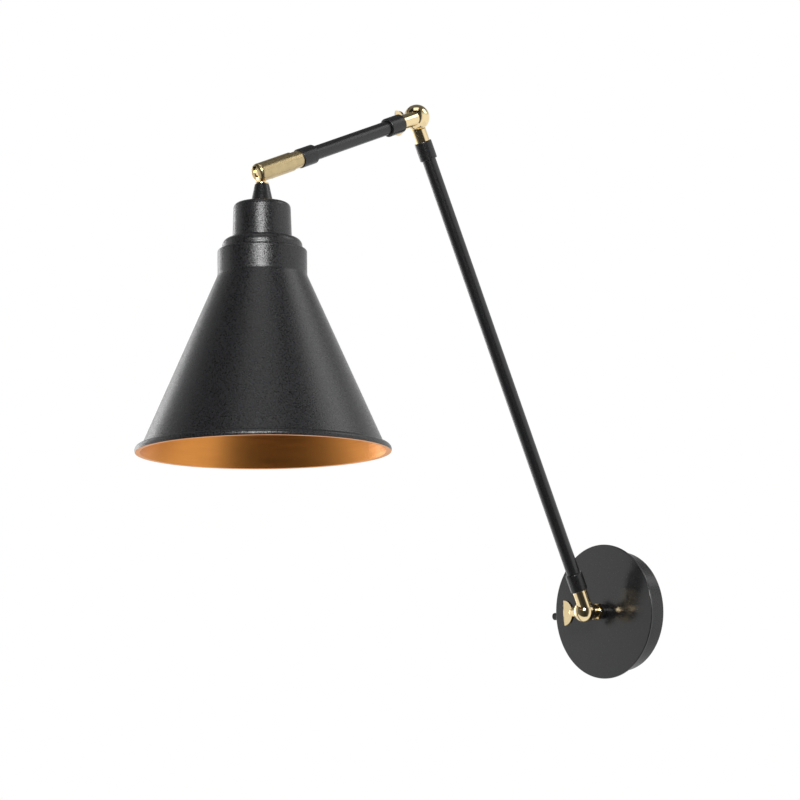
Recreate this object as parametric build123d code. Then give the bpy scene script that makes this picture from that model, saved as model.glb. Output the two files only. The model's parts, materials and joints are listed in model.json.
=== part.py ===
from build123d import *
import os
from math import atan2, cos, radians, sin, sqrt, tan

# Accordion wall lamp: a round wall canopy, two tubular arms and a cone shade, joined by
# split-ball knuckles that are clamped by wing screws.
#
# Frame, millimetres: the origin is on the wall at the centre of the canopy, +Z is up,
# -Y points out into the room and +X runs along the wall.  All three hinges lie along X.

# ---------------------------------------------------------------- driving dimensions

# canopy
FACE_D = 100.0            # front disc
FACE_T = 1.5
FACE_EDGE_R = 0.6
SKIRT_D = 89.5            # drum behind the disc
SHEET_T = 1.2
CANOPY_DEPTH = 18.3       # wall to the front of the disc
SIDE_SCREW_INSET = 3.8    # bracket tab's end to the side screws' axis
SIDE_SCREW_SUNK = 0.3     # end of the headless screw below the drum's surface
SIDE_HOLE_L = 8.0         # depth of the drilling from each side, through drum and tab

# wall bracket inside the canopy
STRAP_T = 1.5
STRAP_W = 18.0
BRACKET_GAP = 0.35        # bracket tabs to the canopy's inside
SLOT_SPACING = 60.0
SLOT_L = 10.0
SLOT_W = 4.5
CABLE_HOLE_D = 12.0
EARTH_X = -14.0

# screws
PIVOT_M5 = 5.0
SCREW_M4 = 4.0
SCREW_M3 = 3.0
RUN = 0.05                # radial running clearance of a shaft in its hole
SEAT = 0.10               # axial gap between faces that turn on each other
PAN_HEAD_H = 2.3
PAN_HEAD_R = 0.9          # rounding of a pan head's top edge
EARTH_HEAD_D = 7.4
EARTH_WASHER_D = 8.4
EARTH_WASHER_T = 0.8
DRIVE_SLOT_W = 1.0
DRIVE_SLOT_DEPTH = 0.9

# thumb screw on the left of the canopy
THUMB_GAP = 0.3           # its collar to the drum
THUMB_COLLAR_D = 4.8
THUMB_COLLAR_L = 2.5
THUMB_HEAD_D = 5.6
THUMB_HEAD_L = 10.9
THUMB_EDGE = 0.5
THUMB_FLUTES = 12
FLUTE_D = 0.9
FLUTE_OUT = 0.25          # how far a flute's axis lies outside the head

# stub that carries the arms
NIPPLE_D = 8.0
NIPPLE_BORE_D = 5.0
NIPPLE_PROUD = 1.5        # nipple past its nut, inside the canopy
WIRE_BORE_D = 4.0
STUB_COLLAR_D = 11.0
STUB_COLLAR_L = 5.0
STUB_NUT_AF = 11.4
STUB_NUT_T = 3.5
NUT_CHAMFER = 0.6
INNER_NUT_AF = 13.0
INNER_NUT_T = 4.0
WASHER_D = 18.0
WASHER_T = 1.2

# knuckles
BASE_REACH = 21.6         # canopy face to the centre of the base ball
BASE_BALL_D = 16.0
BASE_STEM_OFFSET = 2.1    # split plane to the axis of each stem
ELBOW_BALL_D = 18.6
ELBOW_STEM_OFFSET = 2.5
STEM_D = 10.6
SPIGOT_L = 8.0
FRICTION_T = 0.8          # fibre washer between the halves
FRICTION_INSET = 1.5      # its edge to the ball's surface
TAP_WALL = 2.0            # metal left over the blind threaded hole
TAP_SPARE = 1.0           # end of the screw to the bottom of that hole
SPOT_DEPTH = 1.1          # flat under the head of the pivot screw
RELIEF = 0.3              # each stem to the other half's ball

# arms
TUBE_D = 10.0
TUBE_WALL = 1.0
LOWER_L = 385.7           # base ball to elbow ball
LOWER_ELEVATION = 67.2    # degrees above the horizontal
LOWER_COLLAR_D = 12.7
LOWER_COLLAR_L = 13.6
LOWER_COLLAR_START = 16.5  # ball centre to the near end of the collar
TOP_COLLAR_START = 18.1
UPPER_L = 157.7           # elbow ball to the head pivot
UPPER_DROP = 21.0         # degrees below the horizontal
UPPER_COLLAR_D = 13.5
UPPER_COLLAR_L = 14.0
INNER_COLLAR_START = 19.8
COLLAR_EDGE_R = 0.7
TUBE_SEAT = 5.5           # length of tube inside a collar

# wing screws
WING_SPAN = 18.6
WING_W = 9.3
WING_T = 2.4
WING_NECK_D = 6.6
WING_NECK_L = 4.9
WING_NECK_LAP = 1.2       # how far the round neck runs into the grip
WING_TIP_BACK = 0.9       # tips to the crown of the grip's outer edge
WING_SHOULDER_X = 2.9     # root of the grip to the fullest point of its shoulder
WING_SHOULDER_Z = 0.78    # height of that point, as a share of the half span
WING_TIP_R = 0.9
WING_EDGE_R = 0.5

# head fork and its tongue
FORK_D = 13.3
FORK_L = 33.0             # full-diameter part, measured back from its open end
FORK_NECK_D = 12.0
FORK_NECK_L = 7.6
FORK_TIP = 5.2            # pivot to the open end
FORK_TIP_R = 2.6
FORK_STEP_R = 0.5
FORK_PIN_WALL = 1.4       # metal left over the blind end of the pivot hole
PIVOT_HEAD_D = 6.4
PIVOT_HEAD_H = 2.0
PIVOT_HEAD_R = 0.5
PIVOT_SEAT = 5.4          # bar's axis to the seat under the pivot screw's head
PIVOT_POCKET_GAP = 0.3    # round the head
FORK_ROOT = 7.0           # pivot to the root of the slot
FORK_ROOF = 5.3           # pivot to the closed top of the slot
TONGUE_T = 3.0
TONGUE_EYE_R = 4.7
TONGUE_NECK_W = 5.4
TONGUE_SIDE_GAP = 0.25
FLANGE_D = 9.9
FLANGE_TOP = 7.9          # pivot to the flange
FLANGE_T = 1.0
FLANGE_EDGE_R = 0.3
STEM_PROUD = 5.0          # threaded stem past the nut in the cup

# head, all levels measured down from the pivot
HEAD_LEAN = 2.4           # degrees that the top of the shade leans to the wall
NOSE_BOTTOM_D = 15.6
CUP_TOP = 22.2
CUP_BOTTOM = 46.9
CUP_TOP_D = 38.8
CUP_BOTTOM_D = 40.4
CUP_EDGE_R = 3.5
RING_D = 54.6
RING_BOTTOM = 54.6
RING_EDGE_R = 5.2
SHADE_T = 0.8
SHADE_NECK_D = 60.8
SHADE_NECK_EDGE_R = 1.6
SHADE_CREASE = 72.3
SHADE_CREASE_R = 6.0
SHADE_RIM = 193.2
SHADE_EDGE_D = 167.0      # outside of the cone where it meets the level of the rim
SHADE_RIM_D = 172.4       # over the rolled rim
ROLL_R = 3.2              # round of the rolled rim
ROLL_RISE = 1.4           # flat underside of the rim to the centre of that round

# lampholder
HOLDER_D = 36.0
HOLDER_BOTTOM = 74.0
HOLDER_FLOOR = 36.5
HOLDER_EDGE_R = 4.0
WIRE_HOLE_D = 3.0
WIRE_HOLE_X = 9.5
CAP_BORE_D = 26.9         # inside of the screw shell
SHELL_T = 0.6
SHELL_TOP = 40.0
SHELL_L = 25.0
SHELL_LIP = 2.5           # width of the shell's turned-in edge
CONTACT_W = 6.0
CONTACT_T = 0.5
CONTACT_HALF_L = 7.0
CONTACT_BEND = 2.8        # floor of the holder to the contact's crown
CONTACT_CROWN = 3.5       # half length of the crown
HOLDER_NUT_D = 46.0
HOLDER_NUT_T = 6.0
HOLDER_NUT_EDGE = 1.0
HOLDER_NUT_RIBS = 18
RIB_NOTCH_D = 2.4
RIB_NOTCH_START = 1.6     # flange left above the notches

# terminal block
BLOCK_L = 17.0
BLOCK_W = 15.0
BLOCK_T = 8.5
BLOCK_X = 15.0
BLOCK_EDGE_R = 1.2
POLE_X = 4.5              # block's centre to each pole
POLE_BORE_D = 3.6
POLE_SCREW_L = 2.6
POLE_SLOT_W = 0.7

# ---------------------------------------------------------------- derived places

FACE_Y = -CANOPY_DEPTH
SKIRT_FRONT = FACE_Y + FACE_T
BALL_Y = FACE_Y - BASE_REACH
BASE_X = BASE_STEM_OFFSET
LOWER_X = BASE_X + BASE_STEM_OFFSET
ELBOW_X = LOWER_X + ELBOW_STEM_OFFSET
UPPER_X = ELBOW_X + ELBOW_STEM_OFFSET
ELBOW_Y = BALL_Y - LOWER_L * cos(radians(LOWER_ELEVATION))
ELBOW_Z = LOWER_L * sin(radians(LOWER_ELEVATION))
HEAD_Y = ELBOW_Y - UPPER_L * cos(radians(UPPER_DROP))
HEAD_Z = ELBOW_Z - UPPER_L * sin(radians(UPPER_DROP))

# a turn about X by these angles takes local +Z to the direction of each stem
TO_WALL = -90.0
ALONG_LOWER = 90.0 - LOWER_ELEVATION
BACK_DOWN_LOWER = ALONG_LOWER + 180.0
ALONG_UPPER = 90.0 + UPPER_DROP

BASE_PLACE = Pos(BASE_X, BALL_Y, 0)
ELBOW_PLACE = Pos(ELBOW_X, ELBOW_Y, ELBOW_Z)
LOWER_PLACE = Pos(LOWER_X, BALL_Y, 0) * Rot(ALONG_LOWER, 0, 0)
UPPER_PLACE = Pos(UPPER_X, ELBOW_Y, ELBOW_Z) * Rot(ALONG_UPPER, 0, 0)
HEAD_PLACE = Pos(UPPER_X, HEAD_Y, HEAD_Z) * Rot(-HEAD_LEAN, 0, 0)
OUT_OF_WALL = Rot(90, 0, 0)

BIG = 400.0               # side of a block that cuts everything past a plane

# canopy: the tabs touch the drum's inside at their corners, half a strap off its middle
TAB_X = SKIRT_D / 2 - SHEET_T - BRACKET_GAP - (STRAP_W / 2) ** 2 / SKIRT_D
TAB_END = SKIRT_FRONT + SHEET_T + BRACKET_GAP
SIDE_SCREW_Y = TAB_END + SIDE_SCREW_INSET
NUT_SEAT = -SKIRT_FRONT - SHEET_T
NIPPLE_INNER = NUT_SEAT - WASHER_T - INNER_NUT_T - NIPPLE_PROUD
STUB_COLLAR_END = CANOPY_DEPTH + STUB_COLLAR_L
STUB_NUT_END = STUB_COLLAR_END + STUB_NUT_T
STUB_STEM_L = -BALL_Y - STUB_NUT_END

# levels along each arm, from the ball at its lower end
LOWER_MOUTH = LOWER_COLLAR_START + LOWER_COLLAR_L
TOP_SHOULDER = LOWER_L - TOP_COLLAR_START
TOP_MOUTH = TOP_SHOULDER - LOWER_COLLAR_L
INNER_MOUTH = INNER_COLLAR_START + UPPER_COLLAR_L
FORK_SHOULDER = UPPER_L + FORK_TIP - FORK_L - FORK_NECK_L
OUTER_MOUTH = FORK_SHOULDER - UPPER_COLLAR_L

# levels in the head, from the pivot
NOSE_TOP = FLANGE_TOP + FLANGE_T
NUT_BOTTOM = CUP_TOP + SHEET_T + INNER_NUT_T
STEM_END = -NUT_BOTTOM - STEM_PROUD

nodes = {}


# ---------------------------------------------------------------- helpers

def rod(diameter, low, high):
    """Cylinder along Z from low to high."""
    return Pos(0, 0, low) * Cylinder(diameter / 2, high - low, align=(Align.CENTER, Align.CENTER, Align.MIN))


def x_rod(diameter, low, high):
    """Cylinder along X from low to high."""
    return Rot(0, 90, 0) * rod(diameter, low, high)


def sleeve(outer, inner, low, high):
    return rod(outer, low, high) - rod(inner, low, high)


def hex_nut(across_flats, bore, low, high):
    """Nut along Z with one corner on +X and both ends turned to a chamfer."""
    corner_r = across_flats / sqrt(3)
    body = extrude(Pos(0, 0, low) * RegularPolygon(corner_r, 6), high - low)
    turned = chamfer(rod(2 * corner_r, low, high).edges().filter_by(GeomType.CIRCLE), NUT_CHAMFER)
    return (body & turned) - rod(bore, low, high)


def spun(points):
    """Solid of revolution about Z of the outline through (radius, level) points."""
    return revolve(make_face(Polyline([(r, 0, z) for r, z in points], close=True)), Axis.Z)


def round_edge(solid, diameter, level, radius):
    """Fillet the circular edge of this diameter at this level."""
    edges = [
        e for e in solid.edges().filter_by(GeomType.CIRCLE)
        if abs(e.radius - diameter / 2) < 0.01 and abs(e.center().Z - level) < 0.01
    ]
    return fillet(edges, radius)


def slotted_head(diameter, height, edge_r):
    """Screw head from its seat at the origin up local Z, with a driver's slot."""
    head = fillet(rod(diameter, 0, height).edges().group_by(Axis.Z)[-1], edge_r)
    return head - Pos(0, 0, height) * Box(BIG, DRIVE_SLOT_W, 2 * DRIVE_SLOT_DEPTH)


# ---------------------------------------------------------------- canopy and wall bracket

def canopy_face():
    disc = rod(FACE_D, -SKIRT_FRONT, -FACE_Y)
    disc = fillet(disc.edges().group_by(Axis.Z)[-1], FACE_EDGE_R)
    return OUT_OF_WALL * (disc - rod(NIPPLE_D + 2 * RUN, -SKIRT_FRONT, -FACE_Y))


def side_screw_hole(sign):
    outside = SKIRT_D / 2 + 1
    low, high = sorted((sign * outside, sign * (outside - SIDE_HOLE_L)))
    return Pos(0, SIDE_SCREW_Y, 0) * x_rod(SCREW_M4 + 2 * RUN, low, high)


def canopy_body():
    drum = rod(SKIRT_D, 0, -SKIRT_FRONT)
    drum -= rod(SKIRT_D - 2 * SHEET_T, 0, -SKIRT_FRONT - SHEET_T)
    drum -= rod(NIPPLE_D + 2 * RUN, 0, -SKIRT_FRONT)
    return OUT_OF_WALL * drum - side_screw_hole(1) - side_screw_hole(-1)


def wall_bracket():
    profile = Polyline(
        (-TAB_X, TAB_END), (-TAB_X, 0), (TAB_X, 0), (TAB_X, TAB_END),
        (TAB_X - STRAP_T, TAB_END), (TAB_X - STRAP_T, -STRAP_T),
        (STRAP_T - TAB_X, -STRAP_T), (STRAP_T - TAB_X, TAB_END), close=True,
    )
    strap = extrude(make_face(profile), STRAP_W / 2, both=True)
    outer_bends = strap.edges().filter_by(Axis.Z).group_by(Axis.Y)[-1]
    strap = fillet(outer_bends, STRAP_T)
    slot = OUT_OF_WALL * extrude(SlotOverall(SLOT_L, SLOT_W), 2 * STRAP_T, both=True)
    for side in (-1, 1):
        strap -= Pos(side * SLOT_SPACING / 2, 0, 0) * slot
        strap -= side_screw_hole(side)
    strap -= OUT_OF_WALL * rod(CABLE_HOLE_D, 0, STRAP_T)
    strap -= Pos(EARTH_X, 0, 0) * OUT_OF_WALL * rod(SCREW_M4 + 2 * RUN, 0, STRAP_T)
    return strap


def earth_screw():
    """Pan-head screw with its fixed washer, on the free side of the strap."""
    seat = STRAP_T + EARTH_WASHER_T
    shank = rod(SCREW_M4, 0, STRAP_T)
    washer = rod(EARTH_WASHER_D, STRAP_T, seat)
    head = Pos(0, 0, seat) * slotted_head(EARTH_HEAD_D, PAN_HEAD_H, PAN_HEAD_R)
    return Pos(EARTH_X, 0, 0) * OUT_OF_WALL * (shank + washer + head)


def canopy_side_screw():
    """Headless slotted screw that holds the canopy on the bracket's right tab."""
    end = SKIRT_D / 2 - SIDE_SCREW_SUNK
    shank = x_rod(SCREW_M4, TAB_X - STRAP_T - 1, end)
    slot = Pos(end, 0, 0) * Box(2 * DRIVE_SLOT_DEPTH, BIG, POLE_SLOT_W)
    return Pos(0, SIDE_SCREW_Y, 0) * (shank - slot)


def canopy_thumb_screw():
    """Long fluted thumb screw on the left of the canopy."""
    seat = -SKIRT_D / 2 - THUMB_GAP
    grip_start = seat - THUMB_COLLAR_L
    grip_end = grip_start - THUMB_HEAD_L
    grip = x_rod(THUMB_HEAD_D, grip_end, grip_start)
    grip = chamfer(grip.edges().filter_by(GeomType.CIRCLE), THUMB_EDGE)
    flute = Pos(0, 0, THUMB_HEAD_D / 2 + FLUTE_OUT) * x_rod(FLUTE_D, grip_end, grip_start)
    for i in range(THUMB_FLUTES):
        grip -= Rot(360 / THUMB_FLUTES * i, 0, 0) * flute
    neck = x_rod(THUMB_COLLAR_D, grip_start, seat)
    shank = x_rod(SCREW_M4, seat, STRAP_T + 1 - TAB_X)
    return Pos(0, SIDE_SCREW_Y, 0) * (grip + neck + shank)


# ---------------------------------------------------------------- terminal block

def terminal_block():
    """Two-pole block with its wire bores upright."""
    block = Box(BLOCK_L, BLOCK_T, BLOCK_W)
    block = fillet(block.edges().filter_by(Axis.Y), BLOCK_EDGE_R)
    for pole in (-POLE_X, POLE_X):
        block -= Pos(pole, 0, 0) * rod(POLE_BORE_D, -BLOCK_W / 2, BLOCK_W / 2)
        block -= Pos(pole, -BLOCK_T / 2, 0) * OUT_OF_WALL * rod(SCREW_M3 + 2 * RUN, -BLOCK_T / 2, 0)
    return Pos(BLOCK_X, -STRAP_T - BLOCK_T / 2, 0) * block


def terminal_screws():
    """Two slotted clamp screws, one for each pole."""
    screw = rod(SCREW_M3, -POLE_SCREW_L, 0) - Box(BIG, POLE_SLOT_W, 2 * POLE_SLOT_W)
    seat = Pos(BLOCK_X, -STRAP_T - BLOCK_T, 0) * OUT_OF_WALL
    return Compound([seat * Pos(pole, 0, 0) * screw for pole in (-POLE_X, POLE_X)])


# ---------------------------------------------------------------- stub

def stub_nipple():
    return OUT_OF_WALL * sleeve(NIPPLE_D, NIPPLE_BORE_D, NIPPLE_INNER, STUB_NUT_END + SPIGOT_L / 2)


def inner_washer():
    return OUT_OF_WALL * sleeve(WASHER_D, NIPPLE_D + 2 * RUN, NUT_SEAT - WASHER_T, NUT_SEAT)


def inner_nut():
    top = NUT_SEAT - WASHER_T
    return OUT_OF_WALL * hex_nut(INNER_NUT_AF, NIPPLE_D + 2 * RUN, top - INNER_NUT_T, top)


def stub_collar():
    collar = rod(STUB_COLLAR_D, CANOPY_DEPTH, STUB_COLLAR_END)
    collar = round_edge(collar, STUB_COLLAR_D, STUB_COLLAR_END, COLLAR_EDGE_R)
    return OUT_OF_WALL * (collar - rod(NIPPLE_D + 2 * RUN, CANOPY_DEPTH, STUB_COLLAR_END))


def stub_nut():
    return OUT_OF_WALL * hex_nut(STUB_NUT_AF, NIPPLE_D + 2 * RUN, STUB_COLLAR_END, STUB_NUT_END)


# ---------------------------------------------------------------- split-ball knuckles
# Each half is made at the origin: the hinge is the X axis, the halves part at x = 0 and
# the stem points up local Z.  side is +1 for the half on +X, -1 for the one on -X.

def past_plane(side, x):
    """Everything on the given side of a plane across X."""
    return Pos(x + side * BIG / 2, 0, 0) * Box(BIG, BIG, BIG)


def x_ball(diameter):
    """Sphere whose poles lie on the hinge."""
    return Rot(0, 90, 0) * Sphere(diameter / 2)


def ball_half(ball_d, side, stem_offset, stem_end):
    """Hemisphere with an offset round stem that is relieved round the other half."""
    face = side * FRICTION_T / 2
    ball = x_ball(ball_d) & past_plane(side, face)
    stem = Pos(side * stem_offset, 0, 0) * rod(STEM_D, 0, stem_end)
    swept = x_ball(ball_d + 2 * RELIEF) & past_plane(-side, face)
    return ball + (stem - swept)


def clamp_side(half, ball_d):
    """Clearance hole and spot face, on the half under the wing screw's head."""
    spot_x = SPOT_DEPTH - ball_d / 2
    return half - past_plane(-1, spot_x) - x_rod(PIVOT_M5 + 2 * RUN, -ball_d, 0)


def tapped_side(half, ball_d):
    """Blind threaded hole, on the half that the wing screw pulls in."""
    return half - x_rod(PIVOT_M5 + 2 * RUN, 0, ball_d / 2 - TAP_WALL)


def spigot_end(half, side, stem_offset, stem_end):
    """Add the spigot that enters the collar, and drill the wire bore."""
    stem_axis = Pos(side * stem_offset, 0, 0)
    half += stem_axis * rod(NIPPLE_D, stem_end, stem_end + SPIGOT_L)
    return half - stem_axis * rod(WIRE_BORE_D, PIVOT_M5, stem_end + SPIGOT_L)


def base_wall_half():
    half = ball_half(BASE_BALL_D, -1, BASE_STEM_OFFSET, STUB_STEM_L)
    half = clamp_side(half, BASE_BALL_D)
    socket = Pos(-BASE_STEM_OFFSET, 0, 0)
    half -= socket * rod(NIPPLE_D + 2 * RUN, STUB_STEM_L - SPIGOT_L / 2, STUB_STEM_L)
    half -= socket * rod(WIRE_BORE_D, PIVOT_M5, STUB_STEM_L)
    return BASE_PLACE * Rot(TO_WALL, 0, 0) * half


def base_arm_half():
    half = ball_half(BASE_BALL_D, 1, BASE_STEM_OFFSET, LOWER_COLLAR_START)
    half = tapped_side(half, BASE_BALL_D)
    half = spigot_end(half, 1, BASE_STEM_OFFSET, LOWER_COLLAR_START)
    return BASE_PLACE * Rot(ALONG_LOWER, 0, 0) * half


def elbow_lower_half():
    half = ball_half(ELBOW_BALL_D, -1, ELBOW_STEM_OFFSET, TOP_COLLAR_START)
    half = clamp_side(half, ELBOW_BALL_D)
    half = spigot_end(half, -1, ELBOW_STEM_OFFSET, TOP_COLLAR_START)
    return ELBOW_PLACE * Rot(BACK_DOWN_LOWER, 0, 0) * half


def elbow_upper_half():
    half = ball_half(ELBOW_BALL_D, 1, ELBOW_STEM_OFFSET, INNER_COLLAR_START)
    half = tapped_side(half, ELBOW_BALL_D)
    half = spigot_end(half, 1, ELBOW_STEM_OFFSET, INNER_COLLAR_START)
    return ELBOW_PLACE * Rot(ALONG_UPPER, 0, 0) * half


def friction_washer(ball_d):
    """Fibre washer fixed to the half on +X, a hair clear of the other."""
    half_t = FRICTION_T / 2
    ring = x_rod(ball_d - 2 * FRICTION_INSET, SEAT - half_t, half_t)
    return ring - x_rod(PIVOT_M5 + 4 * RUN, -half_t, half_t)


def wing_screw(ball_d):
    """Clamp screw along X with a flat half-moon grip that stands in the XZ plane."""
    seat = SPOT_DEPTH - ball_d / 2 - SEAT
    grip_in = seat - WING_NECK_L
    grip_out = grip_in - WING_W
    tip_x = grip_out + WING_TIP_BACK
    tip_z = WING_SPAN / 2
    waist = WING_NECK_D / 2
    shoulder_x = grip_in - WING_SHOULDER_X
    shoulder_z = WING_SHOULDER_Z * tip_z
    outline = (
        Line((grip_in, -waist), (grip_in, waist))
        + ThreePointArc((grip_in, waist), (shoulder_x, shoulder_z), (tip_x, tip_z))
        + ThreePointArc((tip_x, tip_z), (grip_out, 0), (tip_x, -tip_z))
        + ThreePointArc((tip_x, -tip_z), (shoulder_x, -shoulder_z), (grip_in, -waist))
    )
    grip = Rot(90, 0, 0) * extrude(make_face(outline), WING_T / 2, both=True)
    grip = fillet(grip.edges().filter_by(Axis.Y).group_by(Axis.X)[0], WING_TIP_R)
    grip = fillet(grip.edges().group_by(Axis.Y)[0] + grip.edges().group_by(Axis.Y)[-1], WING_EDGE_R)
    neck = x_rod(WING_NECK_D, grip_in - WING_NECK_LAP, seat)
    shank = x_rod(PIVOT_M5, seat, ball_d / 2 - TAP_WALL - TAP_SPARE)
    return grip + neck + shank


# ---------------------------------------------------------------- arms
# The pieces of an arm are made along local Z from the ball at its lower end.

def collar(diameter, shoulder, length, tube_side):
    """Ferrule from its shoulder on the spigot to the mouth that holds the tube.

    tube_side is +1 where the tube leaves towards +Z and -1 where it leaves towards -Z.
    """
    mouth = shoulder + tube_side * length
    low, high = sorted((shoulder, mouth))
    body = fillet(rod(diameter, low, high).edges().filter_by(GeomType.CIRCLE), COLLAR_EDGE_R)
    step = mouth - tube_side * TUBE_SEAT
    tube_low, tube_high = sorted((step, mouth))
    body -= rod(NIPPLE_D + 2 * RUN, low, high)
    return body - rod(TUBE_D + 2 * RUN, tube_low, tube_high)


def tube(low, high):
    return sleeve(TUBE_D, TUBE_D - 2 * TUBE_WALL, low, high)


# ---------------------------------------------------------------- head fork

def head_fork():
    """Stepped round bar, slotted from its tip and underside for the tongue."""
    tip = UPPER_L + FORK_TIP
    body = rod(FORK_D, tip - FORK_L, tip)
    body = round_edge(body, FORK_D, tip, FORK_TIP_R)
    body = round_edge(body, FORK_D, tip - FORK_L, FORK_STEP_R)
    body += rod(FORK_NECK_D, FORK_SHOULDER, tip - FORK_L)
    body += rod(NIPPLE_D, FORK_SHOULDER - SPIGOT_L, FORK_SHOULDER)
    slot_w = TONGUE_T + 2 * TONGUE_SIDE_GAP
    body -= Pos(0, FORK_ROOF - BIG / 2, UPPER_L - FORK_ROOT + BIG / 2) * Box(slot_w, BIG, BIG)
    pivot = Pos(0, 0, UPPER_L)
    body -= pivot * x_rod(SCREW_M4 + 2 * RUN, -FORK_D, FORK_D / 2 - FORK_PIN_WALL)
    body -= pivot * x_rod(PIVOT_HEAD_D + 2 * PIVOT_POCKET_GAP, -FORK_D, -PIVOT_SEAT)
    body -= rod(WIRE_BORE_D, FORK_SHOULDER - SPIGOT_L, UPPER_L - FORK_ROOT)
    return UPPER_PLACE * body


def head_pivot_screw():
    """Slotted cheese-head screw, with its head on the left of the fork."""
    head = Pos(-PIVOT_SEAT, 0, 0) * Rot(0, -90, 0) * slotted_head(PIVOT_HEAD_D, PIVOT_HEAD_H, PIVOT_HEAD_R)
    shank = x_rod(SCREW_M4, -PIVOT_SEAT, FORK_D / 2 - FORK_PIN_WALL - FORK_STEP_R)
    return UPPER_PLACE * Pos(0, 0, UPPER_L) * (head + shank)


# ---------------------------------------------------------------- head
# Made with the pivot at the origin and the shade hanging down -Z.

def head_tongue():
    """Flat eye in the fork, a round flange and a hollow threaded stem."""
    eye = x_rod(2 * TONGUE_EYE_R, -TONGUE_T / 2, TONGUE_T / 2)
    neck = Pos(0, 0, -FLANGE_TOP / 2) * Box(TONGUE_T, TONGUE_NECK_W, FLANGE_TOP)
    flange = rod(FLANGE_D, -FLANGE_TOP - FLANGE_T, -FLANGE_TOP)
    flange = fillet(flange.edges().filter_by(GeomType.CIRCLE), FLANGE_EDGE_R)
    stem = rod(NIPPLE_D, STEM_END, -FLANGE_TOP - FLANGE_T)
    body = eye + neck + flange + stem
    body -= x_rod(SCREW_M4 + 2 * RUN, -TONGUE_T, TONGUE_T)
    return HEAD_PLACE * (body - rod(WIRE_BORE_D, STEM_END, -FLANGE_TOP - FLANGE_T))


def nose_cone():
    cone = spun([(0, -NOSE_TOP), (FLANGE_D / 2, -NOSE_TOP), (NOSE_BOTTOM_D / 2, -CUP_TOP), (0, -CUP_TOP)])
    return HEAD_PLACE * (cone - rod(NIPPLE_D + 2 * RUN, -CUP_TOP, -NOSE_TOP))


def cup_form(inset):
    """Slightly flared cup with a rounded top, drawn in by inset."""
    top_r = CUP_TOP_D / 2 - inset
    low_r = CUP_BOTTOM_D / 2 - inset
    top = -CUP_TOP - inset
    cup = spun([(0, top), (top_r, top), (low_r, -CUP_BOTTOM), (0, -CUP_BOTTOM)])
    return round_edge(cup, 2 * top_r, top, CUP_EDGE_R - inset)


def socket_cup():
    shell = cup_form(0) - cup_form(SHEET_T)
    return HEAD_PLACE * (shell - rod(NIPPLE_D + 2 * RUN, -CUP_TOP - SHEET_T, -CUP_TOP))


def cup_nut():
    return HEAD_PLACE * hex_nut(INNER_NUT_AF, NIPPLE_D + 2 * RUN, -NUT_BOTTOM, -CUP_TOP - SHEET_T)


def neck_ring():
    """Rounded ring between the cup and the shade."""
    ring = rod(RING_D, -RING_BOTTOM, -CUP_BOTTOM)
    ring = round_edge(ring, RING_D, -CUP_BOTTOM, RING_EDGE_R)
    return HEAD_PLACE * (ring - rod(HOLDER_D + 4 * RUN, -RING_BOTTOM, -CUP_BOTTOM))


def shade_sheet(inset):
    """Outline of the shade from its top centre to its open end, drawn in by inset."""
    neck_r = SHADE_NECK_D / 2 - inset
    rim_r = SHADE_EDGE_D / 2 - inset
    top = -RING_BOTTOM - inset
    slope = atan2(rim_r - neck_r, SHADE_RIM - SHADE_CREASE)
    crease = -SHADE_CREASE + inset * tan(slope / 2)
    body = spun([(0, top), (neck_r, top), (neck_r, crease), (rim_r, -SHADE_RIM), (0, -SHADE_RIM)])
    body = round_edge(body, 2 * neck_r, top, SHADE_NECK_EDGE_R - inset)
    return round_edge(body, 2 * neck_r, crease, SHADE_CREASE_R + inset)


def shade():
    """Spun cone with a short straight neck, a flat top and an outward rolled rim."""
    roll = Pos(0, 0, ROLL_RISE - SHADE_RIM) * Torus(SHADE_RIM_D / 2 - ROLL_R, ROLL_R)
    roll -= Pos(0, 0, -SHADE_RIM - BIG / 2) * Box(BIG, BIG, BIG)
    body = shade_sheet(0) + roll - shade_sheet(SHADE_T)
    hole = rod(HOLDER_D + 4 * RUN, -RING_BOTTOM - SHADE_T, -RING_BOTTOM)
    return HEAD_PLACE * (body - hole)


def holder_body():
    """Moulded lampholder with a blind boss for the stem and the cavity for the cap."""
    top = -NUT_BOTTOM
    body = fillet(rod(HOLDER_D, -HOLDER_BOTTOM, top).edges().group_by(Axis.Z)[-1], HOLDER_EDGE_R)
    body -= rod(CAP_BORE_D + 2 * SHELL_T + 2 * RUN, -HOLDER_BOTTOM, -SHELL_TOP)
    body -= rod(CAP_BORE_D - 2 * SHELL_LIP, -SHELL_TOP, -HOLDER_FLOOR)
    body -= rod(NIPPLE_D + 2 * RUN, STEM_END, top)
    for side in (-1, 1):
        body -= Pos(side * WIRE_HOLE_X, 0, 0) * rod(WIRE_HOLE_D, -HOLDER_FLOOR, top)
    return HEAD_PLACE * body


def holder_shell():
    """Screw shell with its turned-in top edge."""
    outer = CAP_BORE_D + 2 * SHELL_T
    top = -SHELL_TOP
    shell = sleeve(outer, CAP_BORE_D, top - SHELL_L, top)
    shell += sleeve(outer, CAP_BORE_D - 2 * SHELL_LIP, top - SHELL_T, top)
    return HEAD_PLACE * shell


def centre_contact():
    """Sprung brass tongue under the floor of the holder."""
    end, crown, low, t = CONTACT_HALF_L, CONTACT_CROWN, -CONTACT_BEND, CONTACT_T
    path = Polyline(
        (-end, 0), (end, 0), (crown, low), (-crown, low), (-crown, low + t),
        (crown - t, low + t), (end - 2 * t, -t), (-end, -t), close=True,
    )
    strip = extrude(make_face(Plane.XZ * path), CONTACT_W / 2, both=True)
    return HEAD_PLACE * Pos(0, 0, -HOLDER_FLOOR) * strip


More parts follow.
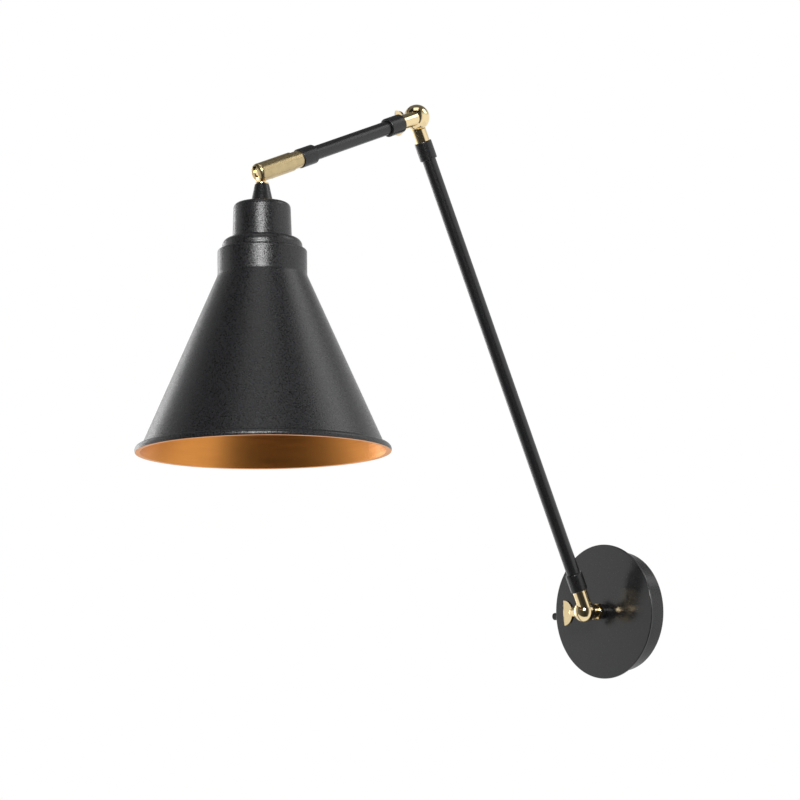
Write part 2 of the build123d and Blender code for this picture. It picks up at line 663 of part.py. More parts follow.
def holder_nut():
    """Ribbed ring that clamps the shade up against the ring and the cup."""
    top = -RING_BOTTOM - SHADE_T
    nut = rod(HOLDER_NUT_D, top - HOLDER_NUT_T, top)
    nut = chamfer(nut.edges().group_by(Axis.Z)[0], HOLDER_NUT_EDGE)
    notch = Pos(HOLDER_NUT_D / 2, 0, 0) * rod(RIB_NOTCH_D, top - HOLDER_NUT_T, top - RIB_NOTCH_START)
    for i in range(HOLDER_NUT_RIBS):
        nut -= Rot(0, 0, 360 / HOLDER_NUT_RIBS * i) * notch
    return HEAD_PLACE * (nut - rod(HOLDER_D + 4 * RUN, top - HOLDER_NUT_T, top))


# ---------------------------------------------------------------- assembly

nodes["wall_bracket"] = wall_bracket()
nodes["canopy_body"] = canopy_body()
nodes["canopy_face"] = canopy_face()
nodes["canopy_side_screw"] = canopy_side_screw()
nodes["canopy_thumb_screw"] = canopy_thumb_screw()
nodes["terminal_block"] = terminal_block()
nodes["terminal_screws"] = terminal_screws()
nodes["earth_screw"] = earth_screw()
nodes["stub_nipple"] = stub_nipple()
nodes["inner_washer"] = inner_washer()
nodes["inner_nut"] = inner_nut()
nodes["stub_collar"] = stub_collar()
nodes["stub_nut"] = stub_nut()
nodes["base_wall_half"] = base_wall_half()

nodes["base_arm_half"] = base_arm_half()
nodes["base_friction_washer"] = BASE_PLACE * friction_washer(BASE_BALL_D)
nodes["base_wing_screw"] = BASE_PLACE * wing_screw(BASE_BALL_D)
nodes["lower_arm_collar"] = LOWER_PLACE * collar(LOWER_COLLAR_D, LOWER_COLLAR_START, LOWER_COLLAR_L, 1)
nodes["lower_arm_tube"] = LOWER_PLACE * tube(LOWER_MOUTH - TUBE_SEAT, TOP_MOUTH + TUBE_SEAT)
nodes["lower_arm_top_collar"] = LOWER_PLACE * collar(LOWER_COLLAR_D, TOP_SHOULDER, LOWER_COLLAR_L, -1)
nodes["elbow_lower_half"] = elbow_lower_half()

nodes["elbow_upper_half"] = elbow_upper_half()
nodes["elbow_friction_washer"] = ELBOW_PLACE * friction_washer(ELBOW_BALL_D)
nodes["elbow_wing_screw"] = ELBOW_PLACE * wing_screw(ELBOW_BALL_D)
nodes["upper_arm_inner_collar"] = UPPER_PLACE * collar(UPPER_COLLAR_D, INNER_COLLAR_START, UPPER_COLLAR_L, 1)
nodes["upper_arm_tube"] = UPPER_PLACE * tube(INNER_MOUTH - TUBE_SEAT, OUTER_MOUTH + TUBE_SEAT)
nodes["upper_arm_outer_collar"] = UPPER_PLACE * collar(UPPER_COLLAR_D, FORK_SHOULDER, UPPER_COLLAR_L, -1)
nodes["head_fork"] = head_fork()
nodes["head_pivot_screw"] = head_pivot_screw()

nodes["head_tongue"] = head_tongue()
nodes["nose_cone"] = nose_cone()
nodes["cup_nut"] = cup_nut()
nodes["socket_cup"] = socket_cup()
nodes["neck_ring"] = neck_ring()
nodes["shade"] = shade()
nodes["holder_nut"] = holder_nut()
nodes["holder_body"] = holder_body()
nodes["holder_shell"] = holder_shell()
nodes["centre_contact"] = centre_contact()

os.makedirs("parts", exist_ok=True)
for name, solid in nodes.items():
    export_step(solid, f"parts/{name}.step")
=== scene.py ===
import json
import math

import bmesh
import bpy
from mathutils import Matrix, Vector


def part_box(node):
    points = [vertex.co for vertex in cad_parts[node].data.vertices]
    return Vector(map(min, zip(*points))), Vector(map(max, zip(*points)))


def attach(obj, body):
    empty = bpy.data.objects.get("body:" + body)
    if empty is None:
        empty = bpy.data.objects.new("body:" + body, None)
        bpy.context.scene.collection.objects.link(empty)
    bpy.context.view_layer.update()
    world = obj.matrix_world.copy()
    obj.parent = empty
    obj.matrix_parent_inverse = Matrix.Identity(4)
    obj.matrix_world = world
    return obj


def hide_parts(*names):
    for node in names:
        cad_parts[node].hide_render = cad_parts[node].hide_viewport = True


bl_info = {
    "name": "Accordion Wall Lamp",
    "version": (1, 0, 0),
    "blender": (4, 5, 0),
    "location": "View3D > Sidebar > Lamp",
    "description": "A folding wall lamp with split-ball knuckles and a cone shade",
    "category": "Add Mesh",
}

MM = 0.001

SPIGOT_R, SPIGOT_L = 3.98 * MM, 8.0 * MM    # end of a stem or of the fork inside its collar
SPIGOT_BORE_R = 4.05 * MM                   # hole for it in the collar
RUN = 0.05 * MM                             # clearance round a shaft, a tube's end or the screw shell
HANGER_R = 4.0 * MM                         # threaded tube below the tongue
CUP_NUT_T, HANGER_PAST_NUT = 4.0 * MM, 5.0 * MM
PIN_HEAD_T = 2.0 * MM                       # head of the pivot screw
DRIVE_L, DRIVE_DEEP = 12.0 * MM, 1.8 * MM   # cutter of a screwdriver slot; half of its depth cuts
CHAMFER_IN, CHAMFER_DOWN = 0.62 * MM, 0.36 * MM     # corners of the brass nut
FLUTE_FACES = 6                             # faces from one flute to the next, of which two are pressed in

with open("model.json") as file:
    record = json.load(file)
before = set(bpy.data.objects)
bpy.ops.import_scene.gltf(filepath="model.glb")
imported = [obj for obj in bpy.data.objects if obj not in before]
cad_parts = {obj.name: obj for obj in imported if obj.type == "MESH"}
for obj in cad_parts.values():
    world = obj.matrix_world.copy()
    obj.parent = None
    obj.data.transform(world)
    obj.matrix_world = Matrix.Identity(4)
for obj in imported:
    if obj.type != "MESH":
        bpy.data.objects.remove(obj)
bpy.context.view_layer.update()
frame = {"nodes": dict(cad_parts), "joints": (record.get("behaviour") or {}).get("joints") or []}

PIVOTS = {joint["name"]: Vector(joint["pos_m"]) for joint in frame["joints"]}
BASE = PIVOTS["base_tilt"]
ELBOW = PIVOTS["elbow_tilt"]
HEAD = PIVOTS["head_tilt"]


def arm_angle(low, high):
    """Turn about X that takes +Z to the line from one pivot to the next."""
    return math.atan2(low.y - high.y, high.z - low.z)


def along(start, x, angle):
    """Place of an arm: its line starts beside a pivot at the given x and leans by angle."""
    return Matrix.Translation((x, start.y, start.z)) @ Matrix.Rotation(angle, 4, "X")


# ------------------------------------------------------------------ sizes and colours

def length(name, millimetres, text):
    """Length property with its default given in millimetres."""
    return bpy.props.FloatProperty(
        name=name, description=text, default=millimetres * MM, min=0.0, unit="LENGTH", precision=5
    )


def colour(name, value, text):
    return bpy.props.FloatVectorProperty(
        name=name, description=text, default=value, size=3, min=0.0, max=1.0, subtype="COLOR"
    )


class CanopySizes(bpy.types.PropertyGroup):
    face_d: length("Face diameter", 100.0, "Diameter of the front disc")
    face_t: length("Face thickness", 1.5, "Thickness of the front disc")
    depth: length("Depth", 18.3, "Wall to the front of the disc")
    drum_d: length("Drum diameter", 89.5, "Diameter of the drum behind the disc")
    sheet_t: length("Sheet", 1.2, "Thickness of the drum's sheet")
    collar_d: length("Collar diameter", 11.0, "Black collar on the front")
    collar_l: length("Collar length", 5.0, "Length of the black collar")
    nut_af: length("Nut across flats", 11.4, "Brass nut against the collar")
    nut_t: length("Nut thickness", 3.5, "Thickness of the brass nut")
    bore_d: length("Bore", 8.1, "Hole for the threaded nipple")


class KnuckleSizes(bpy.types.PropertyGroup):
    base_ball_d: length("Base ball", 16.0, "Diameter of the base ball")
    elbow_ball_d: length("Elbow ball", 18.6, "Diameter of the elbow ball")
    base_offset: length("Base stem offset", 2.1, "Split plane to the base stems")
    elbow_offset: length("Elbow stem offset", 2.5, "Split plane to the elbow stems")
    stem_d: length("Stem diameter", 10.6, "Diameter of the stems")
    split: length("Split", 0.8, "Gap between the halves")
    relief: length("Relief", 0.3, "Stem to the other half's ball")
    spot: length("Spot face", 1.1, "Flat under the wing screw")
    wing_span: length("Wing span", 18.6, "Height of the wing")
    wing_w: length("Wing width", 9.3, "Width of the wing along its screw")
    wing_t: length("Wing thickness", 2.4, "Thickness of the wing")
    neck_d: length("Wing neck diameter", 6.6, "Round neck of the wing screw")
    neck_l: length("Wing neck length", 4.9, "Spot face to the wing")
    screw_d: length("Screw", 5.0, "Diameter of the clamp screw")


class ArmSizes(bpy.types.PropertyGroup):
    tube_d: length("Tube diameter", 10.0, "Diameter of both arms' tubes")
    lower_collar_d: length("Lower collar diameter", 12.7, "Collars of the lower arm")
    lower_collar_l: length("Lower collar length", 13.6, "Length of the lower arm's collars")
    lower_start: length("Lower collar start", 16.5, "Base ball to its collar")
    top_start: length("Top collar start", 18.1, "Elbow ball to the lower arm's collar")
    upper_collar_d: length("Upper collar diameter", 13.5, "Collars of the upper arm")
    upper_collar_l: length("Upper collar length", 14.0, "Length of the upper arm's collars")
    inner_start: length("Inner collar start", 19.8, "Elbow ball to the upper arm's collar")
    edge_r: length("Collar edge", 0.7, "Rounding of the collars' edges")
    seat: length("Tube seat", 5.5, "Length of tube inside a collar")


class ForkSizes(bpy.types.PropertyGroup):
    bar_d: length("Bar diameter", 13.3, "Full diameter of the fork")
    bar_l: length("Bar length", 33.0, "Full-diameter part of the fork")
    neck_d: length("Neck diameter", 12.0, "Step next to the collar")
    neck_l: length("Neck length", 7.6, "Length of that step")
    tip: length("Tip", 5.2, "Pivot to the open end")
    tip_r: length("Tip rounding", 2.6, "Rounding of the open end")
    root: length("Slot root", 7.0, "Pivot to the root of the slot")
    roof: length("Slot roof", 5.3, "Pivot to the closed top of the slot")
    slot_w: length("Slot width", 3.5, "Width of the slot")
    eye_r: length("Eye radius", 4.7, "Radius of the tongue's eye")
    tongue_t: length("Tongue thickness", 3.0, "Thickness of the tongue")
    tongue_w: length("Tongue width", 5.4, "Width of the tongue's neck")
    flange_d: length("Flange diameter", 9.9, "Flange on the tongue")
    flange_top: length("Flange level", 7.9, "Pivot to the flange")
    flange_t: length("Flange thickness", 1.0, "Thickness of the flange")
    pin_d: length("Pin diameter", 4.0, "Pivot screw")
    pin_head_d: length("Pin head", 6.4, "Head of the pivot screw")
    pin_seat: length("Pin seat", 5.4, "Middle of the bar to the seat of the head")


class HeadSizes(bpy.types.PropertyGroup):
    lean: bpy.props.FloatProperty(
        name="Lean", description="Lean of the head at rest", default=math.radians(2.4), subtype="ANGLE"
    )
    stem_d: length("Stem bore", 8.1, "Hole for the hollow stem")
    nose_d: length("Nose diameter", 15.6, "Foot of the nose cone")
    cup_top: length("Cup top", 22.2, "Pivot to the top of the cup")
    cup_bottom: length("Cup bottom", 46.9, "Pivot to the foot of the cup")
    cup_top_d: length("Cup top diameter", 38.8, "Diameter at the top of the cup")
    cup_bottom_d: length("Cup foot diameter", 40.4, "Diameter at the foot of the cup")
    cup_edge_r: length("Cup edge", 3.5, "Rounding of the cup's shoulder")
    sheet_t: length("Cup sheet", 1.2, "Thickness of the cup")
    ring_d: length("Ring diameter", 54.6, "Ring between cup and shade")
    ring_bottom: length("Ring bottom", 54.6, "Pivot to the foot of the ring")
    ring_edge_r: length("Ring edge", 5.2, "Rounding of the ring")
    passage_d: length("Passage", 36.2, "Hole for the lampholder")
    shade_t: length("Shade sheet", 0.8, "Thickness of the shade")
    neck_d: length("Shade neck", 60.8, "Diameter of the shade's neck")
    neck_edge_r: length("Shade neck edge", 1.6, "Rounding at the top of the neck")
    crease: length("Shade crease", 72.3, "Pivot to the crease under the neck")
    crease_r: length("Shade crease rounding", 6.0, "Rounding of that crease")
    rim: length("Rim level", 193.2, "Pivot to the rim's flat underside")
    edge_d: length("Cone edge", 167.0, "Outside of the cone at the level of the rim")
    rim_d: length("Rim diameter", 172.4, "Diameter over the rolled rim")
    roll_r: length("Rim roll", 3.2, "Radius of the rolled rim")
    roll_rise: length("Rim roll rise", 1.4, "Flat underside to the centre of the roll")
    holder_d: length("Lampholder", 36.0, "Diameter of the lampholder")
    holder_top: length("Lampholder top", 27.4, "Pivot to the top of the lampholder")
    holder_bottom: length("Lampholder bottom", 74.0, "Pivot to the mouth of the lampholder")
    holder_floor: length("Lampholder floor", 36.5, "Pivot to its floor")
    shell_top: length("Shell top", 40.0, "Pivot to the top of the screw shell")
    cap_d: length("Cap bore", 26.9, "Inside of the screw shell")
    shell_t: length("Shell", 0.6, "Thickness of the screw shell")
    shell_l: length("Shell length", 25.0, "Length of the screw shell")
    shell_lip: length("Shell lip", 2.5, "Width of the shell's turned-in edge")
    ring_nut_d: length("Ring nut", 46.0, "Diameter of the ring nut")
    ring_nut_t: length("Ring nut thickness", 6.0, "Thickness of the ring nut")


class Finishes(bpy.types.PropertyGroup):
    powder: colour("Powder coat", (0.011, 0.011, 0.012), "Black powder coat")
    lacquer: colour("Tube lacquer", (0.009, 0.009, 0.010), "Black of the tubes")
    copper: colour("Copper", (0.78, 0.32, 0.075), "Inside of the shade")
    brass: colour("Polished brass", (0.90, 0.72, 0.42), "Knuckles and wing screws")
    satin: colour("Brushed brass", (0.56, 0.44, 0.24), "Head fork")
    zinc: colour("Zinc", (0.55, 0.56, 0.58), "Bracket and hidden screws")
    ivory: colour("Ivory moulding", (0.80, 0.78, 0.70), "Terminal block")
    bakelite: colour("Black moulding", (0.022, 0.021, 0.020), "Lampholder")
    fibre: colour("Fibre", (0.24, 0.075, 0.04), "Friction washers")


class StageSettings(bpy.types.PropertyGroup):
    floor_drop: length("Floor", 1300.0, "Floor below the canopy's centre")
    floor_size: length("Floor size", 6000.0, "Side of the floor")
    floor_front: length("Floor front", 600.0, "Canopy's centre to the floor's edge on the camera's side")
    floor_glow: bpy.props.FloatProperty(
        name="Floor whiteness", description="Share of plain white in the floor as it is seen", default=0.85,
        min=0.0, max=1.0,
    )
    wall_reach: length("Wall distance", 9000.0, "Lamp to the dark wall on the camera's side")
    wall_top: length("Wall height", 2900.0, "Lamp to the dim ceiling")
    wall_foot: length("Wall depth", 19000.0, "Lamp down to the foot of the wall")
    sky: bpy.props.FloatProperty(
        name="Sky", description="Strength of the surrounding light", default=1.0, min=0.0
    )
    lamps: bpy.props.FloatProperty(
        name="Lamps", description="Strength of the soft lamps", default=1.0, min=0.0
    )
    lens: bpy.props.FloatProperty(name="Lens", description="Focal length", default=122.15, unit="CAMERA")
    camera_place: bpy.props.FloatVectorProperty(
        name="Camera", description="Place of the camera", default=(1.42294, -1.47909, -0.09443), subtype="XYZ"
    )
    camera_turn: bpy.props.FloatVectorProperty(
        name="Camera angles", description="Azimuth, pitch and roll of the camera",
        default=(math.radians(48.31), math.radians(7.3), math.radians(-2.57)), subtype="EULER",
    )


GROUPS = {
    "lamp_canopy": CanopySizes,
    "lamp_knuckle": KnuckleSizes,
    "lamp_arm": ArmSizes,
    "lamp_fork": ForkSizes,
    "lamp_head": HeadSizes,
    "lamp_finish": Finishes,
    "lamp_stage": StageSettings,
}


# ------------------------------------------------------------------ modelling by operators

def deselect():
    if bpy.context.object and bpy.context.object.mode != "OBJECT":
        bpy.ops.object.mode_set(mode="OBJECT")
    bpy.ops.object.select_all(action="DESELECT")


def only(piece):
    """Make this the one selected and active object."""
    deselect()
    piece.select_set(True)
    bpy.context.view_layer.objects.active = piece


def edit(piece):
    """Open a piece in edit mode with all of it selected."""
    only(piece)
    bpy.ops.object.mode_set(mode="EDIT")
    bpy.ops.mesh.select_all(action="SELECT")


def grab(piece, keep, kind="VERT"):
    """In edit mode, select the vertices, edges or faces for which keep(element) is true."""
    bpy.ops.mesh.select_mode(type=kind)
    bpy.ops.mesh.select_all(action="DESELECT")
    mesh = bmesh.from_edit_mesh(piece.data)
    elements = {"VERT": mesh.verts, "EDGE": mesh.edges, "FACE": mesh.faces}[kind]
    for element in elements:
        if keep(element):
            element.select_set(True)
    mesh.select_flush_mode()
    bmesh.update_edit_mesh(piece.data)


def radius_of(point):
    return math.hypot(point.x, point.y)


def on_ring(edge, radius, level, slack=0.02 * MM):
    """Whether an edge lies on the ring of this radius at this level about Z."""
    return all(
        abs(radius_of(v.co) - radius) < slack and abs(v.co.z - level) < slack for v in edge.verts
    )


def turned(name, outline, sides=96, closed=False):
    """Turned piece about Z: a circle extruded and scaled from (radius, level) to the next.

    A closed outline joins its last ring to its first; otherwise the ends are capped.
    """
    deselect()
    radius, level = outline[0]
    bpy.ops.mesh.primitive_circle_add(vertices=sides, radius=radius, location=(0, 0, level))
    piece = bpy.context.object
    piece.name = name
    bpy.ops.object.transform_apply(location=True, rotation=True, scale=True)
    bpy.ops.object.mode_set(mode="EDIT")
    bpy.ops.mesh.select_mode(type="EDGE")
    bpy.ops.mesh.select_all(action="SELECT")
    if not closed:
        bpy.ops.mesh.edge_face_add()
        grab(piece, lambda edge: on_ring(edge, radius, level), "EDGE")
        bpy.ops.mesh.select_mode(type="EDGE")
    for next_radius, next_level in outline[1:]:
        bpy.ops.mesh.extrude_edges_move(TRANSFORM_OT_translate={"value": (0, 0, next_level - level)})
        scale = next_radius / radius
        bpy.ops.transform.resize(value=(scale, scale, 1), center_override=(0, 0, next_level))
        radius, level = next_radius, next_level
    if closed:
        first_radius, first_level = outline[0]
        grab(
            piece,
            lambda edge: on_ring(edge, radius, level) or on_ring(edge, first_radius, first_level),
            "EDGE",
        )
        bpy.ops.mesh.bridge_edge_loops()
    else:
        bpy.ops.mesh.edge_face_add()
    bpy.ops.mesh.select_all(action="SELECT")
    bpy.ops.mesh.normals_make_consistent(inside=False)
    bpy.ops.object.mode_set(mode="OBJECT")
    return piece


def round_ring(piece, radius, level, width, segments=4):
    """Bevel the ring of edges of this radius at this level."""
    edit(piece)
    grab(piece, lambda edge: on_ring(edge, radius, level), "EDGE")
    bpy.ops.mesh.bevel(offset=width, segments=segments, affect="EDGES", clamp_overlap=True)
    bpy.ops.object.mode_set(mode="OBJECT")


def finish_modifier(piece, kind, **values):
    """Add a modifier, set its values and apply it."""
    only(piece)
    bpy.ops.object.modifier_add(type=kind)
    modifier = piece.modifiers[-1]
    for key, value in values.items():
        setattr(modifier, key, value)
    bpy.ops.object.modifier_apply(modifier=modifier.name)


def cut(piece, cutter, operation="DIFFERENCE"):
    """Boolean with another piece, which is used up."""
    finish_modifier(piece, "BOOLEAN", operation=operation, solver="EXACT", object=cutter)
    only(cutter)
    bpy.ops.object.delete()
    only(piece)


def move(piece, matrix):
    """Put a piece at its place, in its mesh."""
    only(piece)
    piece.matrix_world = matrix
    bpy.ops.object.transform_apply(location=True, rotation=True, scale=True)


def soften(piece, width, segments=3, angle=35.0):
    """Bevel the sharp edges by a width."""
    finish_modifier(
        piece, "BEVEL", width=width, segments=segments, limit_method="ANGLE",
        angle_limit=math.radians(angle), use_clamp_overlap=True,
    )


def shade(piece, angle=35.0):
    only(piece)
    bpy.ops.object.shade_smooth_by_angle(angle=math.radians(angle))
    finish_modifier(piece, "WEIGHTED_NORMAL", keep_sharp=True, weight=80)


X_FROM_Z = Matrix.Rotation(math.radians(90), 4, "Y")
Y_OUT = Matrix.Rotation(math.radians(90), 4, "X")


def paint(piece, *finishes):
    """Give a piece its finishes, the first one to all its faces."""
    piece.data.materials.clear()
    for finish in finishes:
        piece.data.materials.append(finish)


def stand_for(piece, body, node):
    """Ride on the body and replace the node."""
    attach(piece, body)
    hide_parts(node)


def fit(piece, place, finish_name, body, node, angle=35.0):
    """Put a made piece at its place, finish it and let it stand for its node."""
    move(piece, place)
    paint(piece, finish(finish_name))
    shade(piece, angle)
    stand_for(piece, body, node)


def slab(size, centre):
    """Square block, to cut with or to join on."""
    deselect()
    bpy.ops.mesh.primitive_cube_add(size=1, location=(0, 0, 0))
    block = bpy.context.object
    move(block, Matrix.Translation(centre) @ Matrix.Diagonal((*size, 1)))
    return block


def press_flutes(piece, sides, radius, low, high, rim, share):
    """Press flutes into a turned side between two levels, each shrunk to a share of its radius."""
    def groove(face):
        place = face.calc_center_median()
        turn = math.degrees(math.atan2(place.y, place.x)) / (360 / sides) - 0.5
        on_side = radius_of(place) > radius - 0.5 * MM and low < place.z < high
        return on_side and round(turn) % FLUTE_FACES < 2

    edit(piece)
    grab(piece, groove, "FACE")
    bpy.ops.mesh.inset(thickness=rim, depth=0)
    bpy.ops.transform.resize(value=(share, share, 1), center_override=(0, 0, 0))
    bpy.ops.object.mode_set(mode="OBJECT")


# ------------------------------------------------------------------ materials

def new_finish(name):
    """Material with a Principled shader; returns it, its node tree and the shader."""
    material = bpy.data.materials.new(name)
    material.use_nodes = True
    tree = material.node_tree
    shader = tree.nodes["Principled BSDF"]
    return material, tree, shader


def texture_space(tree, place=None, scale=(1, 1, 1)):
    """Object coordinates, seen from a piece's own place and stretched by scale."""
    coordinates = tree.nodes.new("ShaderNodeTexCoord")
    socket = coordinates.outputs["Object"]
    if place is not None:
        back = place.inverted()
        centre = tree.nodes.new("ShaderNodeMapping")
        centre.vector_type = "POINT"
        centre.inputs["Location"].default_value = back.to_translation()
        centre.inputs["Rotation"].default_value = back.to_euler()
        tree.links.new(socket, centre.inputs["Vector"])
        socket = centre.outputs["Vector"]
    stretch = tree.nodes.new("ShaderNodeMapping")
    stretch.inputs["Scale"].default_value = scale
    tree.links.new(socket, stretch.inputs["Vector"])
    return stretch.outputs["Vector"]


def noise(tree, space, scale, detail=3.0, roughness=0.5):
    node = tree.nodes.new("ShaderNodeTexNoise")
    node.inputs["Scale"].default_value = scale
    node.inputs["Detail"].default_value = detail
    node.inputs["Roughness"].default_value = roughness
    tree.links.new(space, node.inputs["Vector"])
    return node.outputs["Fac"]


def spread(tree, socket, low, high, start=0.0, end=1.0):
    """Map a 0 to 1 value onto low to high."""
    node = tree.nodes.new("ShaderNodeMapRange")
    node.inputs["From Min"].default_value = start
    node.inputs["From Max"].default_value = end
    node.inputs["To Min"].default_value = low
    node.inputs["To Max"].default_value = high
    tree.links.new(socket, node.inputs["Value"])
    return node.outputs["Result"]


def blend_colours(tree, socket, low, high):
    node = tree.nodes.new("ShaderNodeMix")
    node.data_type = "RGBA"
    node.inputs[6].default_value = (*low, 1)
    node.inputs[7].default_value = (*high, 1)
    tree.links.new(socket, node.inputs[0])
    return node.outputs[2]


def bump(tree, shader, heights):
    """Chain bump nodes for (height socket, strength, distance)."""
    previous = None
    for socket, strength, distance in heights:
        node = tree.nodes.new("ShaderNodeBump")
        node.inputs["Strength"].default_value = strength
        node.inputs["Distance"].default_value = distance
        tree.links.new(socket, node.inputs["Height"])
        if previous is not None:
            tree.links.new(previous, node.inputs["Normal"])
        previous = node.outputs["Normal"]
    tree.links.new(previous, shader.inputs["Normal"])


def shaded(value, factor):
    return tuple(min(1.0, channel * factor) for channel in value)


def coat(tree, shader, tint, shades, roughness, metallic=0.0, span=(0.3, 0.7)):
    """Colour between two shades of a named tint and roughness between two values.

    shades and roughness are each a noise and its two ends; span is the noise at roughness's ends.
    """
    base = getattr(bpy.context.scene.lamp_finish, tint)
    socket, dark, pale = shades
    blend = blend_colours(tree, socket, shaded(base, dark), shaded(base, pale))
    tree.links.new(blend, shader.inputs["Base Color"])
    tree.links.new(spread(tree, *roughness, *span), shader.inputs["Roughness"])
    shader.inputs["Metallic"].default_value = metallic


def powder_coat(name="powder_coat", rough=0.31, grain=0.5, specular=0.5):
    """Black powder coat: a speckle of fine grains over a faint, slow orange peel."""
    material, tree, shader = new_finish(name)
    space = texture_space(tree)
    fine = noise(tree, space, 1000.0, 2.0, 0.7)
    peel = noise(tree, space, 300.0, 2.0)
    speckle = spread(tree, fine, 0.0, 1.0, 0.38, 0.62)
    coat(tree, shader, "powder", (speckle, 1 - grain, 1 + 2 * grain), (fine, rough - 0.08, rough + 0.08))
    shader.inputs["Specular IOR Level"].default_value = specular
    bump(tree, shader, [(peel, 0.03, 0.0004), (fine, grain, 0.0003)])
    return material


def tube_lacquer():
    """Smooth satin black with a fine, even texture."""
    material, tree, shader = new_finish("tube_lacquer")
    space = texture_space(tree)
    cloud = noise(tree, space, 60.0, 3.0)
    fine = noise(tree, space, 1100.0, 2.0)
    coat(tree, shader, "lacquer", (cloud, 0.85, 1.25), (fine, 0.26, 0.36))
    shader.inputs["Specular IOR Level"].default_value = 0.6
    bump(tree, shader, [(fine, 0.12, 0.00008)])
    return material


def polished_brass():
    """Pale polished brass with faint cloudiness, hairlines and soft waviness."""
    material, tree, shader = new_finish("polished_brass")
    space = texture_space(tree)
    cloud = noise(tree, space, 120.0, 3.0)
    hair = noise(tree, texture_space(tree, None, (1.0, 0.12, 1.0)), 2400.0, 2.0)
    wave = noise(tree, space, 260.0, 1.0)
    coat(tree, shader, "brass", (cloud, 0.93, 1.05), (hair, 0.07, 0.17), 1.0, (0.3, 0.75))
    bump(tree, shader, [(wave, 0.06, 0.0003), (hair, 0.03, 0.00005)])
    return material


def brushed_brass(name, place):
    """Olive-gold brass with turning marks round the bar and dull patches."""
    material, tree, shader = new_finish(name)
    rings = noise(tree, texture_space(tree, place, (0.02, 0.02, 1.0)), 3200.0, 3.0, 0.65)
    streak = noise(tree, texture_space(tree, place, (1.0, 1.0, 0.12)), 500.0, 2.0)
    patch = noise(tree, texture_space(tree, place), 170.0, 2.0)
    coat(tree, shader, "satin", (patch, 0.85, 1.2), (streak, 0.27, 0.33), 1.0)
    bump(tree, shader, [(rings, 0.03, 0.00006), (streak, 0.04, 0.00006)])
    return material


def spun_copper(place):
    """Copper lacquer inside the shade, with spinning lines round its axis."""
    material, tree, shader = new_finish("spun_copper")
    rings = noise(tree, texture_space(tree, place, (0.03, 0.03, 1.0)), 900.0, 4.0, 0.6)
    cloud = noise(tree, texture_space(tree, place), 30.0, 4.0)
    flake = noise(tree, texture_space(tree, place), 1900.0, 2.0)
    coat(tree, shader, "copper", (cloud, 0.86, 1.12), (rings, 0.36, 0.48), 1.0)
    bump(tree, shader, [(rings, 0.08, 0.0002), (flake, 0.12, 0.0001)])
    return material


def zinc_plate():
    """Zinc-plated steel: grey spangle with rolling lines."""
    material, tree, shader = new_finish("zinc_plate")
    grain = noise(tree, texture_space(tree, None, (1.0, 1.0, 0.08)), 1500.0, 3.0)
    cloud = noise(tree, texture_space(tree), 90.0, 4.0)
    coat(tree, shader, "zinc", (cloud, 0.8, 1.12), (grain, 0.28, 0.44), 1.0)
    bump(tree, shader, [(grain, 0.10, 0.00008)])
    return material


def moulding(name, tint, rough):
    """Moulded plastic: faint flow clouds and a fine spark-eroded texture."""
    material, tree, shader = new_finish(name)
    space = texture_space(tree)
    cloud = noise(tree, space, 70.0, 3.0)
    fine = noise(tree, space, 2200.0, 2.0)
    coat(tree, shader, tint, (cloud, 0.9, 1.08), (fine, rough - 0.06, rough + 0.06))
    bump(tree, shader, [(fine, 0.15, 0.00006)])
    return material


def vulcanised_fibre():
    """Red-brown fibre with its pressed threads."""
    material, tree, shader = new_finish("vulcanised_fibre")
    threads = noise(tree, texture_space(tree, None, (1.0, 0.15, 1.0)), 1800.0, 4.0, 0.7)
    coat(tree, shader, "fibre", (threads, 0.6, 1.5), (threads, 0.6, 0.8), 0.0, (0.0, 1.0))
    bump(tree, shader, [(threads, 0.3, 0.0001)])
    return material


MADE = {}


def finish(name):
    """Each finish is made once, the first time it is asked for."""
    if name not in MADE:
        MADE[name] = {
            "powder": powder_coat,
            "powder_fine": lambda: powder_coat("powder_coat_smooth", 0.30, 0.1),
            "powder_gloss": lambda: powder_coat("powder_coat_gloss", 0.20, 0.08, 0.75),
            "lacquer": tube_lacquer,
            "brass": polished_brass,
            "fork_brass": lambda: brushed_brass("brushed_brass", upper_place()),
            "copper": lambda: spun_copper(head_place()),
            "zinc": zinc_plate,
            "ivory": lambda: moulding("ivory_moulding", "ivory", 0.42),
            "bakelite": lambda: moulding("black_moulding", "bakelite", 0.38),
            "fibre": vulcanised_fibre,
        }[name]()
    return MADE[name]


# ------------------------------------------------------------------ places

def lower_place():
    sizes = bpy.context.scene.lamp_knuckle
    return along(BASE, BASE.x + sizes.base_offset, arm_angle(BASE, ELBOW))


def upper_place():
    sizes = bpy.context.scene.lamp_knuckle
    return along(ELBOW, ELBOW.x + sizes.elbow_offset, arm_angle(ELBOW, HEAD))


def head_place():
    lean = bpy.context.scene.lamp_head.lean
    return Matrix.Translation(HEAD) @ Matrix.Rotation(-lean, 4, "X")


def lower_length():
    return math.hypot(ELBOW.y - BASE.y, ELBOW.z - BASE.z)


def upper_length():
    return math.hypot(HEAD.y - ELBOW.y, HEAD.z - ELBOW.z)


# ------------------------------------------------------------------ pieces

